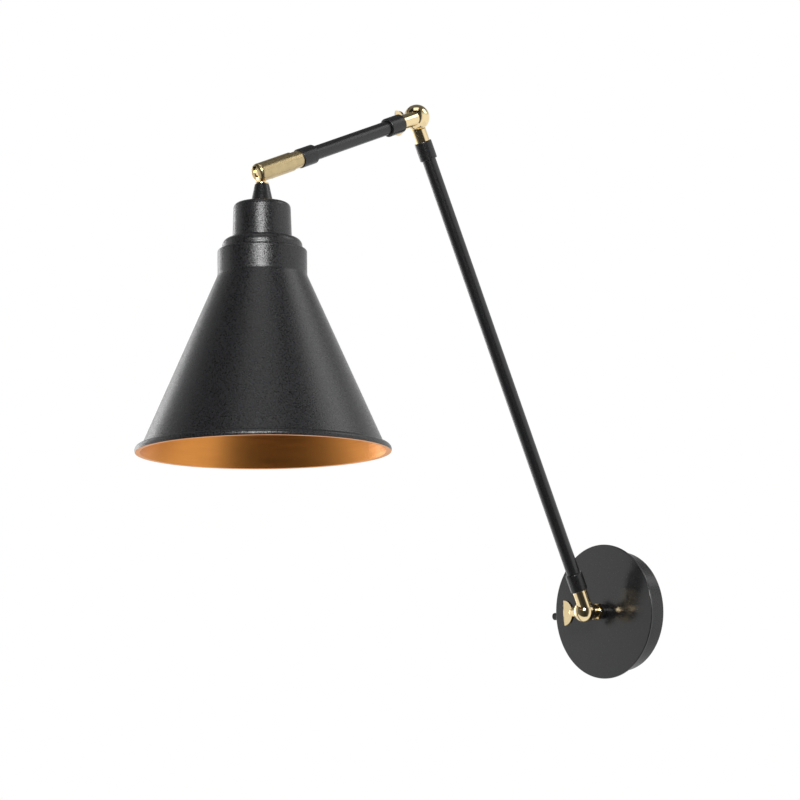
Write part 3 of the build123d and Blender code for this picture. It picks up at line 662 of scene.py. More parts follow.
class LAMP_OT_canopy(bpy.types.Operator):
    """Make the canopy's disc and drum"""

    bl_idname = "lamp.canopy"
    bl_label = "Canopy"

    def execute(self, context):
        s = context.scene.lamp_canopy
        back = s.depth - s.face_t
        bore = s.bore_d / 2
        edge = s.face_d / 2
        outline = [(bore, back), (edge, back), (edge, s.depth), (bore, s.depth)]
        disc = turned("canopy_disc", outline, 160, True)
        round_ring(disc, edge, s.depth, 0.6 * MM, 5)
        round_ring(disc, edge, back, 0.15 * MM, 2)
        fit(disc, Y_OUT, "powder_gloss", "canopy", "canopy_face")

        outside, inside = s.drum_d / 2, s.drum_d / 2 - s.sheet_t
        ceiling = back - s.sheet_t
        drum = turned(
            "canopy_drum",
            [(bore, ceiling), (inside, ceiling), (inside, 0), (outside, 0), (outside, back), (bore, back)],
            160, True,
        )
        round_ring(drum, outside, 0, 0.25 * MM, 3)
        round_ring(drum, inside, ceiling, 0.8 * MM, 3)
        fit(drum, Y_OUT, "powder_fine", "canopy", "canopy_body")
        return {"FINISHED"}


class LAMP_OT_stub(bpy.types.Operator):
    """Make the black collar and the brass nut on the canopy"""

    bl_idname = "lamp.stub"
    bl_label = "Stub"

    def execute(self, context):
        s = context.scene.lamp_canopy
        bore, edge = s.bore_d / 2, s.collar_d / 2
        top = s.depth + s.collar_l
        outline = [(bore, s.depth), (edge, s.depth), (edge, top), (bore, top)]
        collar = turned("stub_ferrule", outline, 64, True)
        round_ring(collar, edge, top, context.scene.lamp_arm.edge_r, 4)
        fit(collar, Y_OUT, "powder_fine", "canopy", "stub_collar")

        corner = s.nut_af / math.sqrt(3)
        nut_top = top + s.nut_t
        nut = turned("stub_hexagon", [(corner, top), (corner, nut_top)], 6)
        cone = turned(
            "nut_chamfer",
            [
                (corner - CHAMFER_IN, top), (corner, top + CHAMFER_DOWN),
                (corner, nut_top - CHAMFER_DOWN), (corner - CHAMFER_IN, nut_top),
            ],
            96,
        )
        move(nut, Matrix.Rotation(math.radians(90), 4, "Z"))
        cut(nut, cone, "INTERSECT")
        cut(nut, turned("nut_bore", [(bore, top - MM), (bore, nut_top + MM)], 64))
        soften(nut, 0.12 * MM, 2)
        fit(nut, Y_OUT, "brass", "canopy", "stub_nut", 30)
        return {"FINISHED"}


def ball_cap(name, radius, face, side):
    """What is left of a ball beyond the plane x = face, on the side of +1 or -1."""
    deselect()
    bpy.ops.mesh.primitive_uv_sphere_add(segments=96, ring_count=64, radius=radius, location=(0, 0, 0))
    ball = bpy.context.object
    ball.name = name
    move(ball, X_FROM_Z)
    edit(ball)
    bpy.ops.mesh.bisect(
        plane_co=(face, 0, 0), plane_no=(1, 0, 0), use_fill=True,
        clear_inner=side > 0, clear_outer=side < 0,
    )
    bpy.ops.object.mode_set(mode="OBJECT")
    return ball


def half_ball(name, ball_d, side, offset, low_end, spigot):
    """Half of a split ball with its offset stem, made at the origin with the stem up Z."""
    s = bpy.context.scene.lamp_knuckle
    face = side * s.split / 2
    aside = Matrix.Translation((side * offset, 0, 0))
    ball = ball_cap(name, ball_d / 2, face, side)
    stem = turned("stem", [(s.stem_d / 2, 0), (s.stem_d / 2, low_end)], 64)
    move(stem, aside)
    cut(stem, ball_cap("swept", ball_d / 2 + s.relief, face, -side))
    cut(ball, stem, "UNION")
    if spigot:
        tenon = turned("tenon", [(SPIGOT_R, low_end - 0.5 * MM), (SPIGOT_R, low_end + SPIGOT_L)], 48)
        move(tenon, aside)
        cut(ball, tenon, "UNION")
    if side < 0:
        cut(ball, slab((ball_d, ball_d, ball_d), (s.spot - ball_d, 0, 0)))
    soften(ball, 0.18 * MM, 3, 25)
    return ball


class LAMP_OT_knuckles(bpy.types.Operator):
    """Make the two split-ball knuckles"""

    bl_idname = "lamp.knuckles"
    bl_label = "Knuckles"

    def execute(self, context):
        s, a, c = context.scene.lamp_knuckle, context.scene.lamp_arm, context.scene.lamp_canopy
        lower, upper = arm_angle(BASE, ELBOW), arm_angle(ELBOW, HEAD)
        back = lower + math.pi
        stub_end = -BASE.y - (c.depth + c.collar_l + c.nut_t)
        base = (BASE, s.base_ball_d, s.base_offset)
        elbow = (ELBOW, s.elbow_ball_d, s.elbow_offset)
        # piece, node, body, knuckle, side, end of the stem, whether it has a spigot, turn about X
        halves = (
            ("base_ball_fixed", "base_wall_half", "canopy", base, -1, stub_end, False, -math.pi / 2),
            ("base_ball_moving", "base_arm_half", "lower_arm", base, 1, a.lower_start, True, lower),
            ("elbow_ball_lower", "elbow_lower_half", "lower_arm", elbow, -1, a.top_start, True, back),
            ("elbow_ball_upper", "elbow_upper_half", "upper_arm", elbow, 1, a.inner_start, True, upper),
        )
        for name, node, body, (pivot, ball_d, offset), side, end, spigot, turn in halves:
            piece = half_ball(name, ball_d, side, offset, end, spigot)
            fit(piece, along(pivot, pivot.x, turn), "brass", body, node, 30)
        return {"FINISHED"}


def wing(name, ball_d):
    """Clamp screw with a half-moon grip, along X at the origin."""
    s = bpy.context.scene.lamp_knuckle
    gap, crown, tip_r = 0.1 * MM, 0.9 * MM, 0.9 * MM
    shank_end = ball_d / 2 - 3.0 * MM
    seat = s.spot - ball_d / 2 - gap
    root = seat - s.neck_l
    half = s.wing_span / 2
    deselect()
    bpy.ops.mesh.primitive_cylinder_add(vertices=96, radius=half, depth=s.wing_t, location=(0, 0, 0))
    grip = bpy.context.object
    grip.name = name
    move(grip, Y_OUT)
    edit(grip)
    bpy.ops.mesh.bisect(plane_co=(0, 0, 0), plane_no=(1, 0, 0), use_fill=True, clear_inner=True)
    bpy.ops.mesh.select_all(action="SELECT")
    bpy.ops.transform.resize(value=((s.wing_w - crown) / half, 1, 1), center_override=(0, 0, 0))
    steps = 8
    reach, share = 0.0, 1.0
    for step in range(1, steps + 1):
        turn = math.radians(90) * step / (steps + 1)
        next_reach, next_share = crown * math.sin(turn), math.cos(turn)
        grab(grip, lambda face: face.normal.x < -0.9, "FACE")
        bpy.ops.mesh.extrude_region_move(TRANSFORM_OT_translate={"value": (reach - next_reach, 0, 0)})
        bpy.ops.transform.resize(value=(1, 1, next_share / share), center_override=(0, 0, 0))
        reach, share = next_reach, next_share

    def tip(edge):
        """Short edges across the grip at its two tips."""
        return all(abs(v.co.z) > half - 0.02 * MM for v in edge.verts)

    grab(grip, tip, "EDGE")
    bpy.ops.mesh.bevel(offset=tip_r, segments=4, affect="EDGES", clamp_overlap=True)
    bpy.ops.object.mode_set(mode="OBJECT")
    move(grip, Matrix.Translation((root - s.wing_w + crown, 0, 0)))
    # radius as a share of the neck's diameter, and mm past the grip's root
    flare = ((0.32, -2.6), (0.44, -1.2), (0.5, 0.4))
    outline = [(share * s.neck_d, root + reach * MM) for share, reach in flare]
    outline += [(s.neck_d / 2, seat), (s.screw_d / 2, seat), (s.screw_d / 2, shank_end)]
    neck = turned("wing_neck", outline, 64)
    round_ring(neck, s.neck_d / 2, seat, 0.35 * MM, 3)
    move(neck, X_FROM_Z)
    cut(grip, neck, "UNION")
    soften(grip, 0.42 * MM, 3, 40)
    return grip


class LAMP_OT_wings(bpy.types.Operator):
    """Make the wing screws of both knuckles"""

    bl_idname = "lamp.wings"
    bl_label = "Wing screws"

    def execute(self, context):
        s = context.scene.lamp_knuckle
        for name, ball_d, pivot, body, node in (
            ("base_wing", s.base_ball_d, BASE, "base_wing", "base_wing_screw"),
            ("elbow_wing", s.elbow_ball_d, ELBOW, "elbow_wing", "elbow_wing_screw"),
        ):
            piece = wing(name + "_grip", ball_d)
            fit(piece, Matrix.Translation(pivot), "brass", body, node, 30)
        return {"FINISHED"}


def ferrule(name, diameter, shoulder, size, tube_side):
    """Collar with rounded edges, hollow at the tube's end."""
    a = bpy.context.scene.lamp_arm
    mouth = shoulder + tube_side * size
    step = mouth - tube_side * a.seat
    tube_r, bore, edge = a.tube_d / 2 + RUN, SPIGOT_BORE_R, diameter / 2
    piece = turned(
        name,
        [(bore, shoulder), (edge, shoulder), (edge, mouth), (tube_r, mouth), (tube_r, step), (bore, step)],
        80, True,
    )
    for level in (shoulder, mouth):
        round_ring(piece, edge, level, a.edge_r, 4)
    round_ring(piece, tube_r, mouth, 0.2 * MM, 2)
    return piece


class LAMP_OT_arms(bpy.types.Operator):
    """Make the tubes and collars of both arms"""

    bl_idname = "lamp.arms"
    bl_label = "Arms"

    def execute(self, context):
        a, f = context.scene.lamp_arm, context.scene.lamp_fork
        top = lower_length() - a.top_start
        shoulder = upper_length() + f.tip - f.bar_l - f.neck_l
        lower = (lower_place(), "lower_arm", a.lower_collar_d, a.lower_collar_l)
        upper = (upper_place(), "upper_arm", a.upper_collar_d, a.upper_collar_l)
        # piece, node, arm, shoulder of the collar, +1 or -1 from there to the tube
        collars = (
            ("lower_ferrule", "lower_arm_collar", lower, a.lower_start, 1),
            ("top_ferrule", "lower_arm_top_collar", lower, top, -1),
            ("inner_ferrule", "upper_arm_inner_collar", upper, a.inner_start, 1),
            ("outer_ferrule", "upper_arm_outer_collar", upper, shoulder, -1),
        )
        for name, node, (place, body, diameter, size), start, side in collars:
            piece = ferrule(name, diameter, start, size, side)
            fit(piece, place, "powder_fine", body, node)
        # piece, node, arm, shoulders of the collars at its two ends
        tubes = (
            ("lower_tube", "lower_arm_tube", lower, a.lower_start, top),
            ("upper_tube", "upper_arm_tube", upper, a.inner_start, shoulder),
        )
        outer, inner = a.tube_d / 2, a.tube_d / 2 - MM
        for name, node, (place, body, _, size), start, end in tubes:
            low, high = start + size - a.seat, end - size + a.seat
            piece = turned(name, [(inner, low), (outer, low), (outer, high), (inner, high)], 80, True)
            soften(piece, 0.2 * MM, 2)
            fit(piece, place, "lacquer", body, node)
        return {"FINISHED"}


class LAMP_OT_fork(bpy.types.Operator):
    """Make the slotted brass bar and its pivot screw"""

    bl_idname = "lamp.fork"
    bl_label = "Head fork"

    def execute(self, context):
        f = context.scene.lamp_fork
        tip = upper_length() + f.tip
        step = tip - f.bar_l
        shoulder = step - f.neck_l
        bar = turned(
            "fork_bar",
            [
                (SPIGOT_R, shoulder - SPIGOT_L), (SPIGOT_R, shoulder), (f.neck_d / 2, shoulder),
                (f.neck_d / 2, step), (f.bar_d / 2, step), (f.bar_d / 2, tip),
            ],
            112,
        )
        round_ring(bar, f.bar_d / 2, tip, f.tip_r, 8)
        round_ring(bar, f.bar_d / 2, step, 0.5 * MM, 3)
        round_ring(bar, f.neck_d / 2, shoulder, 0.25 * MM, 2)
        past = 30 * MM
        slot_centre = (0, f.roof - past / 2, upper_length() - f.root + past / 2)
        cut(bar, slab((f.slot_w, past, past), slot_centre))
        sink_r, hole_r = f.pin_head_d / 2 + 0.3 * MM, f.pin_d / 2 + RUN
        blind_end = f.bar_d / 2 - 1.4 * MM
        pocket = turned(
            "pivot_pocket",
            [(sink_r, -f.bar_d), (sink_r, -f.pin_seat), (hole_r, -f.pin_seat), (hole_r, blind_end)],
            64,
        )
        move(pocket, Matrix.Translation((0, 0, upper_length())) @ X_FROM_Z)
        cut(bar, pocket)
        soften(bar, 0.2 * MM, 2, 40)
        fit(bar, upper_place(), "fork_brass", "upper_arm", "head_fork", 30)

        head_r, pin_r = f.pin_head_d / 2, f.pin_d / 2
        top, pin_end = -f.pin_seat - PIN_HEAD_T, f.bar_d / 2 - 1.9 * MM
        outline = [(head_r, top), (head_r, -f.pin_seat), (pin_r, -f.pin_seat), (pin_r, pin_end)]
        head = turned("pivot_pin", outline, 64)
        round_ring(head, head_r, top, 0.5 * MM, 4)
        cut(head, slab((MM, DRIVE_L, DRIVE_DEEP), (0, 0, top)))
        soften(head, 0.08 * MM, 2, 40)
        fit(
            head, upper_place() @ Matrix.Translation((0, 0, upper_length())) @ X_FROM_Z,
            "fork_brass", "upper_arm", "head_pivot_screw", 30,
        )
        return {"FINISHED"}


class LAMP_OT_tongue(bpy.types.Operator):
    """Make the tongue that hangs the head in the fork"""

    bl_idname = "lamp.tongue"
    bl_label = "Tongue"

    def execute(self, context):
        f, h = context.scene.lamp_fork, context.scene.lamp_head
        deselect()
        bpy.ops.mesh.primitive_cylinder_add(vertices=96, radius=f.eye_r, depth=f.tongue_t, location=(0, 0, 0))
        eye = bpy.context.object
        eye.name = "hanging_tongue"
        move(eye, X_FROM_Z)
        # a trace thinner than the eye, so that no two of their faces lie in one plane
        neck_size = (f.tongue_t * 0.999, f.tongue_w, f.flange_top)
        cut(eye, slab(neck_size, (0, 0, -f.flange_top / 2)), "UNION")
        hole_r = f.pin_d / 2 + RUN
        hole = turned("eye_hole", [(hole_r, -f.tongue_t), (hole_r, f.tongue_t)], 48)
        move(hole, X_FROM_Z)
        cut(eye, hole)
        soften(eye, 0.3 * MM, 3, 40)
        low = -f.flange_top - f.flange_t
        stem_end = -(h.cup_top + h.sheet_t + CUP_NUT_T + HANGER_PAST_NUT)
        flange = turned(
            "flange",
            [(f.flange_d / 2, -f.flange_top), (f.flange_d / 2, low), (HANGER_R, low), (HANGER_R, stem_end)],
            80,
        )
        round_ring(flange, f.flange_d / 2, -f.flange_top, 0.3 * MM, 3)
        round_ring(flange, f.flange_d / 2, low, 0.3 * MM, 3)
        cut(eye, flange, "UNION")
        fit(eye, head_place(), "brass", "head", "head_tongue", 30)
        return {"FINISHED"}


class LAMP_OT_cup(bpy.types.Operator):
    """Make the nose cone, the socket cup and the ring under it"""

    bl_idname = "lamp.cup"
    bl_label = "Nose, cup and ring"

    def execute(self, context):
        f, h = context.scene.lamp_fork, context.scene.lamp_head
        bore = h.stem_d / 2
        nose_top = -f.flange_top - f.flange_t
        nose = turned(
            "nose",
            [(bore, nose_top), (f.flange_d / 2, nose_top), (h.nose_d / 2, -h.cup_top), (bore, -h.cup_top)],
            80, True,
        )
        round_ring(nose, f.flange_d / 2, nose_top, 0.25 * MM, 3)
        fit(nose, head_place(), "powder_fine", "head", "nose_cone")

        ceiling = -h.cup_top - h.sheet_t
        top_r, low_r = h.cup_top_d / 2, h.cup_bottom_d / 2
        cup = turned(
            "cup",
            [
                (bore, -h.cup_top), (top_r, -h.cup_top), (low_r, -h.cup_bottom),
                (low_r - h.sheet_t, -h.cup_bottom), (top_r - h.sheet_t, ceiling), (bore, ceiling),
            ],
            128, True,
        )
        round_ring(cup, top_r, -h.cup_top, h.cup_edge_r, 8)
        round_ring(cup, top_r - h.sheet_t, ceiling, h.cup_edge_r - h.sheet_t, 6)
        round_ring(cup, low_r, -h.cup_bottom, 0.2 * MM, 2)
        fit(cup, head_place(), "powder", "head", "socket_cup")

        edge, hole = h.ring_d / 2, h.passage_d / 2
        ring = turned(
            "shoulder_ring",
            [(hole, -h.cup_bottom), (edge, -h.cup_bottom), (edge, -h.ring_bottom), (hole, -h.ring_bottom)],
            128, True,
        )
        round_ring(ring, edge, -h.cup_bottom, h.ring_edge_r, 10)
        fit(ring, head_place(), "powder", "head", "neck_ring")
        return {"FINISHED"}


class LAMP_OT_shade(bpy.types.Operator):
    """Make the spun cone shade with its rolled rim"""

    bl_idname = "lamp.shade"
    bl_label = "Shade"

    def execute(self, context):
        h = context.scene.lamp_head
        hole, neck_r, edge_r = h.passage_d / 2, h.neck_d / 2, h.edge_d / 2
        top, crease = -h.ring_bottom, -h.crease
        slope = math.atan2(edge_r - neck_r, h.rim - h.crease)
        inner_r = neck_r - h.shade_t
        inner_crease = crease + h.shade_t * math.tan(slope / 2)
        roll_r, roll_level = h.rim_d / 2 - h.roll_r, -h.rim + h.roll_rise
        outside = (roll_r - edge_r) * math.cos(slope) + h.roll_rise * math.sin(slope)
        start = slope + math.acos(-outside / h.roll_r)
        end = -math.asin(h.roll_rise / h.roll_r)
        steps = 16
        roll = []
        for step in range(steps + 1):
            angle = start + (end - start) * step / steps
            roll.append((roll_r + h.roll_r * math.cos(angle), roll_level + h.roll_r * math.sin(angle)))
        outline = [(hole, top), (neck_r, top), (neck_r, crease)] + roll
        outline += [(edge_r - h.shade_t, -h.rim), (inner_r, inner_crease)]
        outline += [(inner_r, top - h.shade_t), (hole, top - h.shade_t)]
        piece = turned("cone_shade", outline, 192, True)
        bend = h.crease_r * math.tan(slope / 2)
        round_ring(piece, neck_r, top, h.neck_edge_r, 5)
        round_ring(piece, neck_r, crease, bend, 6)
        round_ring(piece, inner_r, inner_crease, bend, 6)
        round_ring(piece, edge_r - h.shade_t, -h.rim, 0.3 * MM, 3)
        paint(piece, finish("powder"), finish("copper"))
        edit(piece)

        def inside(face):
            """Faces that look down, or towards the axis but not up."""
            place = face.calc_center_median()
            to_axis = place.x * face.normal.x + place.y * face.normal.y < 0
            return face.normal.z < -0.9 or (to_axis and face.normal.z < 0.1)

        grab(piece, inside, "FACE")
        piece.active_material_index = 1
        bpy.ops.object.material_slot_assign()
        bpy.ops.object.mode_set(mode="OBJECT")
        move(piece, head_place())
        shade(piece, 40)
        stand_for(piece, "head", "shade")
        return {"FINISHED"}


class LAMP_OT_lampholder(bpy.types.Operator):
    """Make the lampholder, its screw shell and its ring nut"""

    bl_idname = "lamp.lampholder"
    bl_label = "Lampholder"

    def execute(self, context):
        h = context.scene.lamp_head
        outer, cavity = h.holder_d / 2, h.cap_d / 2 + h.shell_t + RUN
        top, ledge, mouth, bore = -h.holder_top, -h.shell_top, -h.holder_bottom, h.stem_d / 2
        lip = h.cap_d / 2 - h.shell_lip
        body = turned(
            "holder_moulding",
            [
                (bore, top), (outer, top), (outer, mouth), (cavity, mouth), (cavity, ledge), (lip, ledge),
                (lip, -h.holder_floor), (bore, -h.holder_floor),
            ],
            112, True,
        )
        round_ring(body, outer, top, 4.0 * MM, 6)
        round_ring(body, outer, mouth, 0.8 * MM, 3)
        round_ring(body, cavity, mouth, 0.5 * MM, 3)
        fit(body, head_place(), "bakelite", "head", "holder_body")

        crest = h.cap_d / 2 + h.shell_t - 0.1 * MM
        pitch, lead_in, wave = 3.6 * MM, 1.2 * MM, 0.24 * MM
        wall, shelf = 0.2 * MM, 0.3 * MM
        outline = [(lip, ledge), (crest, ledge)]
        for turn in range(int(h.shell_l / pitch)):
            level = ledge - lead_in - turn * pitch
            outline += [(crest, level), (crest - wave, level - 0.5 * pitch)]
        outline.append((crest, ledge - h.shell_l))
        inner = [(radius - wall, level) for radius, level in reversed(outline[1:])]
        inner[-1] = (inner[-1][0], ledge - shelf)
        inner.append((lip, ledge - shelf))
        shell = turned("screw_shell", outline + inner, 96, True)
        fit(shell, head_place(), "brass", "head", "holder_shell", 50)

        hole, edge = h.passage_d / 2, h.ring_nut_d / 2
        nut_top = -h.ring_bottom - h.shade_t
        nut_low = nut_top - h.ring_nut_t
        band, depth, sides = 1.6 * MM, 1.1 * MM, 108
        nut = turned(
            "ring_nut",
            [(hole, nut_top), (edge, nut_top), (edge, nut_top - band), (edge, nut_low), (hole, nut_low)],
            sides, True,
        )
        press_flutes(nut, sides, edge, nut_low, nut_top - band, 0.2 * MM, (edge - depth) / edge)
        fit(nut, head_place(), "bakelite", "head", "holder_nut", 30)
        return {"FINISHED"}


class LAMP_OT_canopy_screws(bpy.types.Operator):
    """Make the fluted thumb screw and the headless screw of the canopy"""

    bl_idname = "lamp.canopy_screws"
    bl_label = "Canopy screws"

    def execute(self, context):
        low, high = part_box("canopy_thumb_screw")
        centre = (low + high) / 2
        grip_r, grip_l, sides = 2.8 * MM, 10.9 * MM, 84
        collar_r, collar_l, shank_r = 2.4 * MM, 2.5 * MM, 2.0 * MM
        start, grip_end = low.x, low.x + grip_l
        collar_end = grip_end + collar_l
        screw = turned(
            "thumb_grip",
            [
                (grip_r, start), (grip_r, grip_end), (collar_r, grip_end), (collar_r, collar_end),
                (shank_r, collar_end), (shank_r, high.x),
            ],
            sides,
        )
        round_ring(screw, grip_r, start, 0.5 * MM, 3)
        round_ring(screw, grip_r, grip_end, 0.5 * MM, 3)
        middle = start + grip_l / 2
        press_flutes(screw, sides, grip_r, middle - MM, middle + MM, 0.08 * MM, 0.93)
        place = Matrix.Translation((0, centre.y, centre.z)) @ X_FROM_Z
        fit(screw, place, "powder_fine", "canopy_screw", "canopy_thumb_screw", 30)

        low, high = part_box("canopy_side_screw")
        centre = (low + high) / 2
        grub = turned("grub_screw", [(shank_r, low.x), (shank_r, high.x)], 64)
        cut(grub, slab((DRIVE_L, 0.7 * MM, DRIVE_DEEP), (0, 0, high.x)))
        soften(grub, 0.08 * MM, 2, 40)
        place = Matrix.Translation((0, centre.y, centre.z)) @ X_FROM_Z
        fit(grub, place, "powder_fine", "canopy", "canopy_side_screw", 30)
        return {"FINISHED"}


INNER_FINISHES = {
    "wall_bracket": "zinc",
    "terminal_block": "ivory",
    "terminal_screws": "zinc",
    "earth_screw": "zinc",
    "stub_nipple": "brass",
    "inner_washer": "zinc",
    "inner_nut": "brass",
    "base_friction_washer": "fibre",
    "elbow_friction_washer": "fibre",
    "cup_nut": "brass",
    "centre_contact": "brass",
}


class LAMP_OT_inner_parts(bpy.types.Operator):
    """Finish the inner parts, which keep their CAD shapes"""

    bl_idname = "lamp.inner_parts"
    bl_label = "Inner parts"

    def execute(self, context):
        for node, name in INNER_FINISHES.items():
            piece = frame["nodes"][node]
            if not piece.material_slots:
                raise RuntimeError(f"{node} has no material slot")
            for place in piece.material_slots:
                place.material = finish(name)
        return {"FINISHED"}


# ------------------------------------------------------------------ stage

def soft_lamp(name, place, aim, size, power):
    """Area lamp that looks at a point."""
    deselect()
    bpy.ops.object.light_add(type="AREA", location=place)
    lamp = bpy.context.object
    lamp.name = name
    lamp.data.shape = "RECTANGLE"
    lamp.data.size, lamp.data.size_y = size
    lamp.data.energy = power
    lamp.rotation_euler = (Vector(aim) - Vector(place)).to_track_quat("-Z", "Y").to_euler()


MIDDLE = (0.0, -0.22, 0.2)      # what the lamps aim at and the surroundings stand round

# name, degrees to the right of the camera, height, distance, size in metres, watts
SOFT_LAMPS = (
    ("key", -3, 0.78, 2.4, (0.9, 0.8), 56),
    ("left", -140, 0.3, 2.2, (0.6, 1.6), 9),
    ("right", 95, 1.9, 2.0, (1.2, 1.2), 10),
    ("top", -5, 2.6, 0.8, (1.4, 1.4), 9),
)

# degrees to the right of the camera and brightness of what stands round the object there
SURROUNDINGS = (
    (-180, 1.0), (-98, 1.0), (-84, 0.14), (-30, 0.05), (0, 0.03), (38, 0.05), (54, 0.85), (110, 0.80),
    (150, 0.95), (180, 1.0),
)


# part of that ring, in the same degrees, where a dark wall stands before the white backdrop
DARK_WALL = (-98, 54)


def ring_level(tree, direction, settings):
    """Colour and strength of the ring of surroundings in a direction; it dims towards the ceiling."""
    unit = tree.nodes.new("ShaderNodeVectorMath")
    unit.operation = "NORMALIZE"
    tree.links.new(direction, unit.inputs[0])
    turn = tree.nodes.new("ShaderNodeMapping")
    turn.vector_type = "VECTOR"
    turn.inputs["Rotation"].default_value = (0, 0, math.radians(90) - settings.camera_turn[0])
    tree.links.new(unit.outputs["Vector"], turn.inputs["Vector"])
    split = tree.nodes.new("ShaderNodeSeparateXYZ")
    tree.links.new(turn.outputs["Vector"], split.inputs["Vector"])
    angle = tree.nodes.new("ShaderNodeMath")
    angle.operation = "ARCTAN2"
    tree.links.new(split.outputs["Y"], angle.inputs[0])
    tree.links.new(split.outputs["X"], angle.inputs[1])
    ramp = tree.nodes.new("ShaderNodeValToRGB")
    ramp.color_ramp.interpolation = "EASE"
    stops = ramp.color_ramp.elements
    for degrees, level in SURROUNDINGS:
        at_end = abs(degrees) == 180
        stop = stops[0 if degrees < 0 else -1] if at_end else stops.new(degrees / 360 + 0.5)
        stop.color = (level, level, level, 1)
    tree.links.new(spread(tree, angle.outputs["Value"], 0, 1, -math.pi, math.pi), ramp.inputs["Fac"])
    strength = spread(tree, split.outputs["Z"], settings.sky, 0.15 * settings.sky, 0.3, 0.7)
    return ramp.outputs["Color"], strength


def seen(tree):
    """1 for the camera's rays and for those that metal or glass sends on, 0 for the others."""
    rays = tree.nodes.new("ShaderNodeLightPath")
    socket = rays.outputs["Is Camera Ray"]
    for kind in ("Is Glossy Ray", "Is Transmission Ray"):
        either = tree.nodes.new("ShaderNodeMath")
        either.operation = "MAXIMUM"
        tree.links.new(socket, either.inputs[0])
        tree.links.new(rays.outputs[kind], either.inputs[1])
        socket = either.outputs["Value"]
    return socket


def surroundings(scene, settings):
    """White backdrop for what is seen, also in metal and glass; the ring only lights the object."""
    world = bpy.data.worlds.new("surroundings")
    scene.world = world
    world.use_nodes = True
    tree = world.node_tree
    ring = tree.nodes["Background"]
    backdrop = tree.nodes.new("ShaderNodeBackground")
    backdrop.inputs["Color"].default_value = (1, 1, 1, 1)
    backdrop.inputs["Strength"].default_value = 1.0
    direction = tree.nodes.new("ShaderNodeTexCoord")
    tint, strength = ring_level(tree, direction.outputs["Generated"], settings)
    tree.links.new(tint, ring.inputs["Color"])
    tree.links.new(strength, ring.inputs["Strength"])
    mix = tree.nodes.new("ShaderNodeMixShader")
    tree.links.new(seen(tree), mix.inputs["Fac"])
    tree.links.new(ring.outputs["Background"], mix.inputs[1])
    tree.links.new(backdrop.outputs["Background"], mix.inputs[2])
    tree.links.new(mix.outputs["Shader"], tree.nodes["World Output"].inputs["Surface"])


def dark_wall(settings):
    """Curved dark wall and dim ceiling, which the object's finishes reflect and no camera sees."""
    deselect()
    height = settings.wall_top + settings.wall_foot
    bpy.ops.mesh.primitive_cylinder_add(
        vertices=180, radius=settings.wall_reach, depth=height, location=(0, 0, 0)
    )
    wall = bpy.context.object
    wall.name = "dark_wall"
    move(wall, Matrix.Translation((0, 0, settings.wall_top - height / 2)))
    edit(wall)

    def left_open(face):
        """The drum's bottom, and its side where the white backdrop shows."""
        place = face.calc_center_median()
        side = math.degrees(math.atan2(place.y, place.x) - settings.camera_turn[0]) + 90
        side = (side + 180) % 360 - 180
        on_side = abs(face.normal.z) < 0.5
        return face.normal.z < -0.5 or (on_side and not DARK_WALL[0] < side < DARK_WALL[1])

    grab(wall, left_open, "FACE")
    bpy.ops.mesh.delete(type="FACE")
    bpy.ops.object.mode_set(mode="OBJECT")
    wall.location = MIDDLE
    material, tree, shader = new_finish("dark_wall")
    tint, strength = ring_level(tree, texture_space(tree), settings)
    shader.inputs["Base Color"].default_value = (0, 0, 0, 1)
    shader.inputs["Specular IOR Level"].default_value = 0.0
    tree.links.new(tint, shader.inputs["Emission Color"])
    tree.links.new(strength, shader.inputs["Emission Strength"])
    wall.data.materials.append(material)
    wall.visible_camera = wall.visible_diffuse = wall.visible_shadow = False


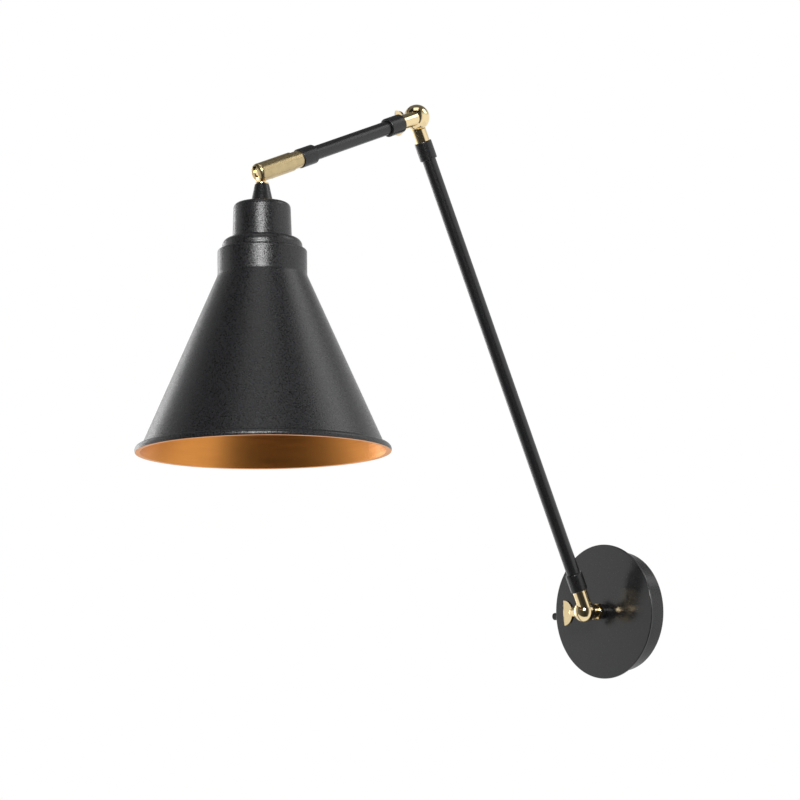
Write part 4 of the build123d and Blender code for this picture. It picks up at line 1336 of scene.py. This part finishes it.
class LAMP_OT_stage(bpy.types.Operator):
    """Set the floor, the lamps, the surroundings and the camera"""

    bl_idname = "lamp.stage"
    bl_label = "Stage"

    def execute(self, context):
        s = context.scene.lamp_stage
        deselect()
        back = s.floor_size / 2 - s.floor_front
        turn = s.camera_turn[0] + math.radians(90)
        bpy.ops.mesh.primitive_plane_add(
            size=s.floor_size, rotation=(0, 0, s.camera_turn[0]),
            location=(back * math.cos(turn), back * math.sin(turn), -s.floor_drop),
        )
        floor = context.object
        floor.name = "floor"
        material, tree, shader = new_finish("pale_floor")
        grain = noise(tree, texture_space(tree), 6.0, 5.0)
        pale = blend_colours(tree, grain, (0.86, 0.86, 0.86), (0.90, 0.90, 0.90))
        tree.links.new(pale, shader.inputs["Base Color"])
        shader.inputs["Roughness"].default_value = 0.75
        glow = tree.nodes.new("ShaderNodeEmission")
        mix = tree.nodes.new("ShaderNodeMixShader")
        tree.links.new(spread(tree, seen(tree), 0.0, s.floor_glow), mix.inputs["Fac"])
        tree.links.new(shader.outputs["BSDF"], mix.inputs[1])
        tree.links.new(glow.outputs["Emission"], mix.inputs[2])
        tree.links.new(mix.outputs["Shader"], tree.nodes["Material Output"].inputs["Surface"])
        floor.data.materials.append(material)

        surroundings(context.scene, s)
        dark_wall(s)
        azimuth = s.camera_turn[0]
        for name, side, height, reach, size, power in SOFT_LAMPS:
            turn = azimuth - math.radians(90) + math.radians(side)
            place = (reach * math.cos(turn) + MIDDLE[0], reach * math.sin(turn) + MIDDLE[1], height)
            soft_lamp(name, place, MIDDLE, size, power * s.lamps)

        bpy.ops.object.camera_add(location=s.camera_place)
        camera = context.object
        camera.name = "camera"
        azimuth, pitch, roll = s.camera_turn
        level = Vector((math.cos(azimuth), math.sin(azimuth), 0))
        ahead = Vector((-math.sin(azimuth), math.cos(azimuth), 0))
        forward = ahead * math.cos(pitch) + Vector((0, 0, math.sin(pitch)))
        upright = level.cross(forward)
        right = level * math.cos(roll) + upright * math.sin(roll)
        up = upright * math.cos(roll) - level * math.sin(roll)
        turn = Matrix((right, up, -forward)).transposed().to_4x4()
        camera.matrix_world = Matrix.Translation(s.camera_place) @ turn
        camera.data.lens = s.lens
        camera.data.sensor_width = 36
        camera.data.clip_end = 50
        context.scene.camera = camera
        context.scene.view_settings.view_transform = "Standard"
        return {"FINISHED"}


OPERATORS = (
    LAMP_OT_canopy,
    LAMP_OT_stub,
    LAMP_OT_knuckles,
    LAMP_OT_wings,
    LAMP_OT_arms,
    LAMP_OT_fork,
    LAMP_OT_tongue,
    LAMP_OT_cup,
    LAMP_OT_shade,
    LAMP_OT_lampholder,
    LAMP_OT_canopy_screws,
    LAMP_OT_inner_parts,
    LAMP_OT_stage,
)


class LAMP_PT_panel(bpy.types.Panel):
    """Sizes, finishes and pieces of the lamp"""

    bl_idname = "LAMP_PT_panel"
    bl_label = "Accordion Wall Lamp"
    bl_space_type = "VIEW_3D"
    bl_region_type = "UI"
    bl_category = "Lamp"

    def draw(self, context):
        for group in GROUPS:
            box = self.layout.box()
            box.label(text=group.replace("_", " ").capitalize())
            settings = getattr(context.scene, group)
            for key in settings.__annotations__:
                box.prop(settings, key)
        for operator in OPERATORS:
            self.layout.operator(operator.bl_idname)


def register():
    for group, kind in GROUPS.items():
        bpy.utils.register_class(kind)
        setattr(bpy.types.Scene, group, bpy.props.PointerProperty(type=kind))
    for operator in OPERATORS:
        bpy.utils.register_class(operator)
    bpy.utils.register_class(LAMP_PT_panel)


def unregister():
    bpy.utils.unregister_class(LAMP_PT_panel)
    for operator in reversed(OPERATORS):
        bpy.utils.unregister_class(operator)
    for group, kind in reversed(list(GROUPS.items())):
        delattr(bpy.types.Scene, group)
        bpy.utils.unregister_class(kind)


def main():
    register()
    for operator in OPERATORS:
        family, action = operator.bl_idname.split(".")
        getattr(getattr(bpy.ops, family), action)()
    deselect()


if __name__ == "__main__":
    main()
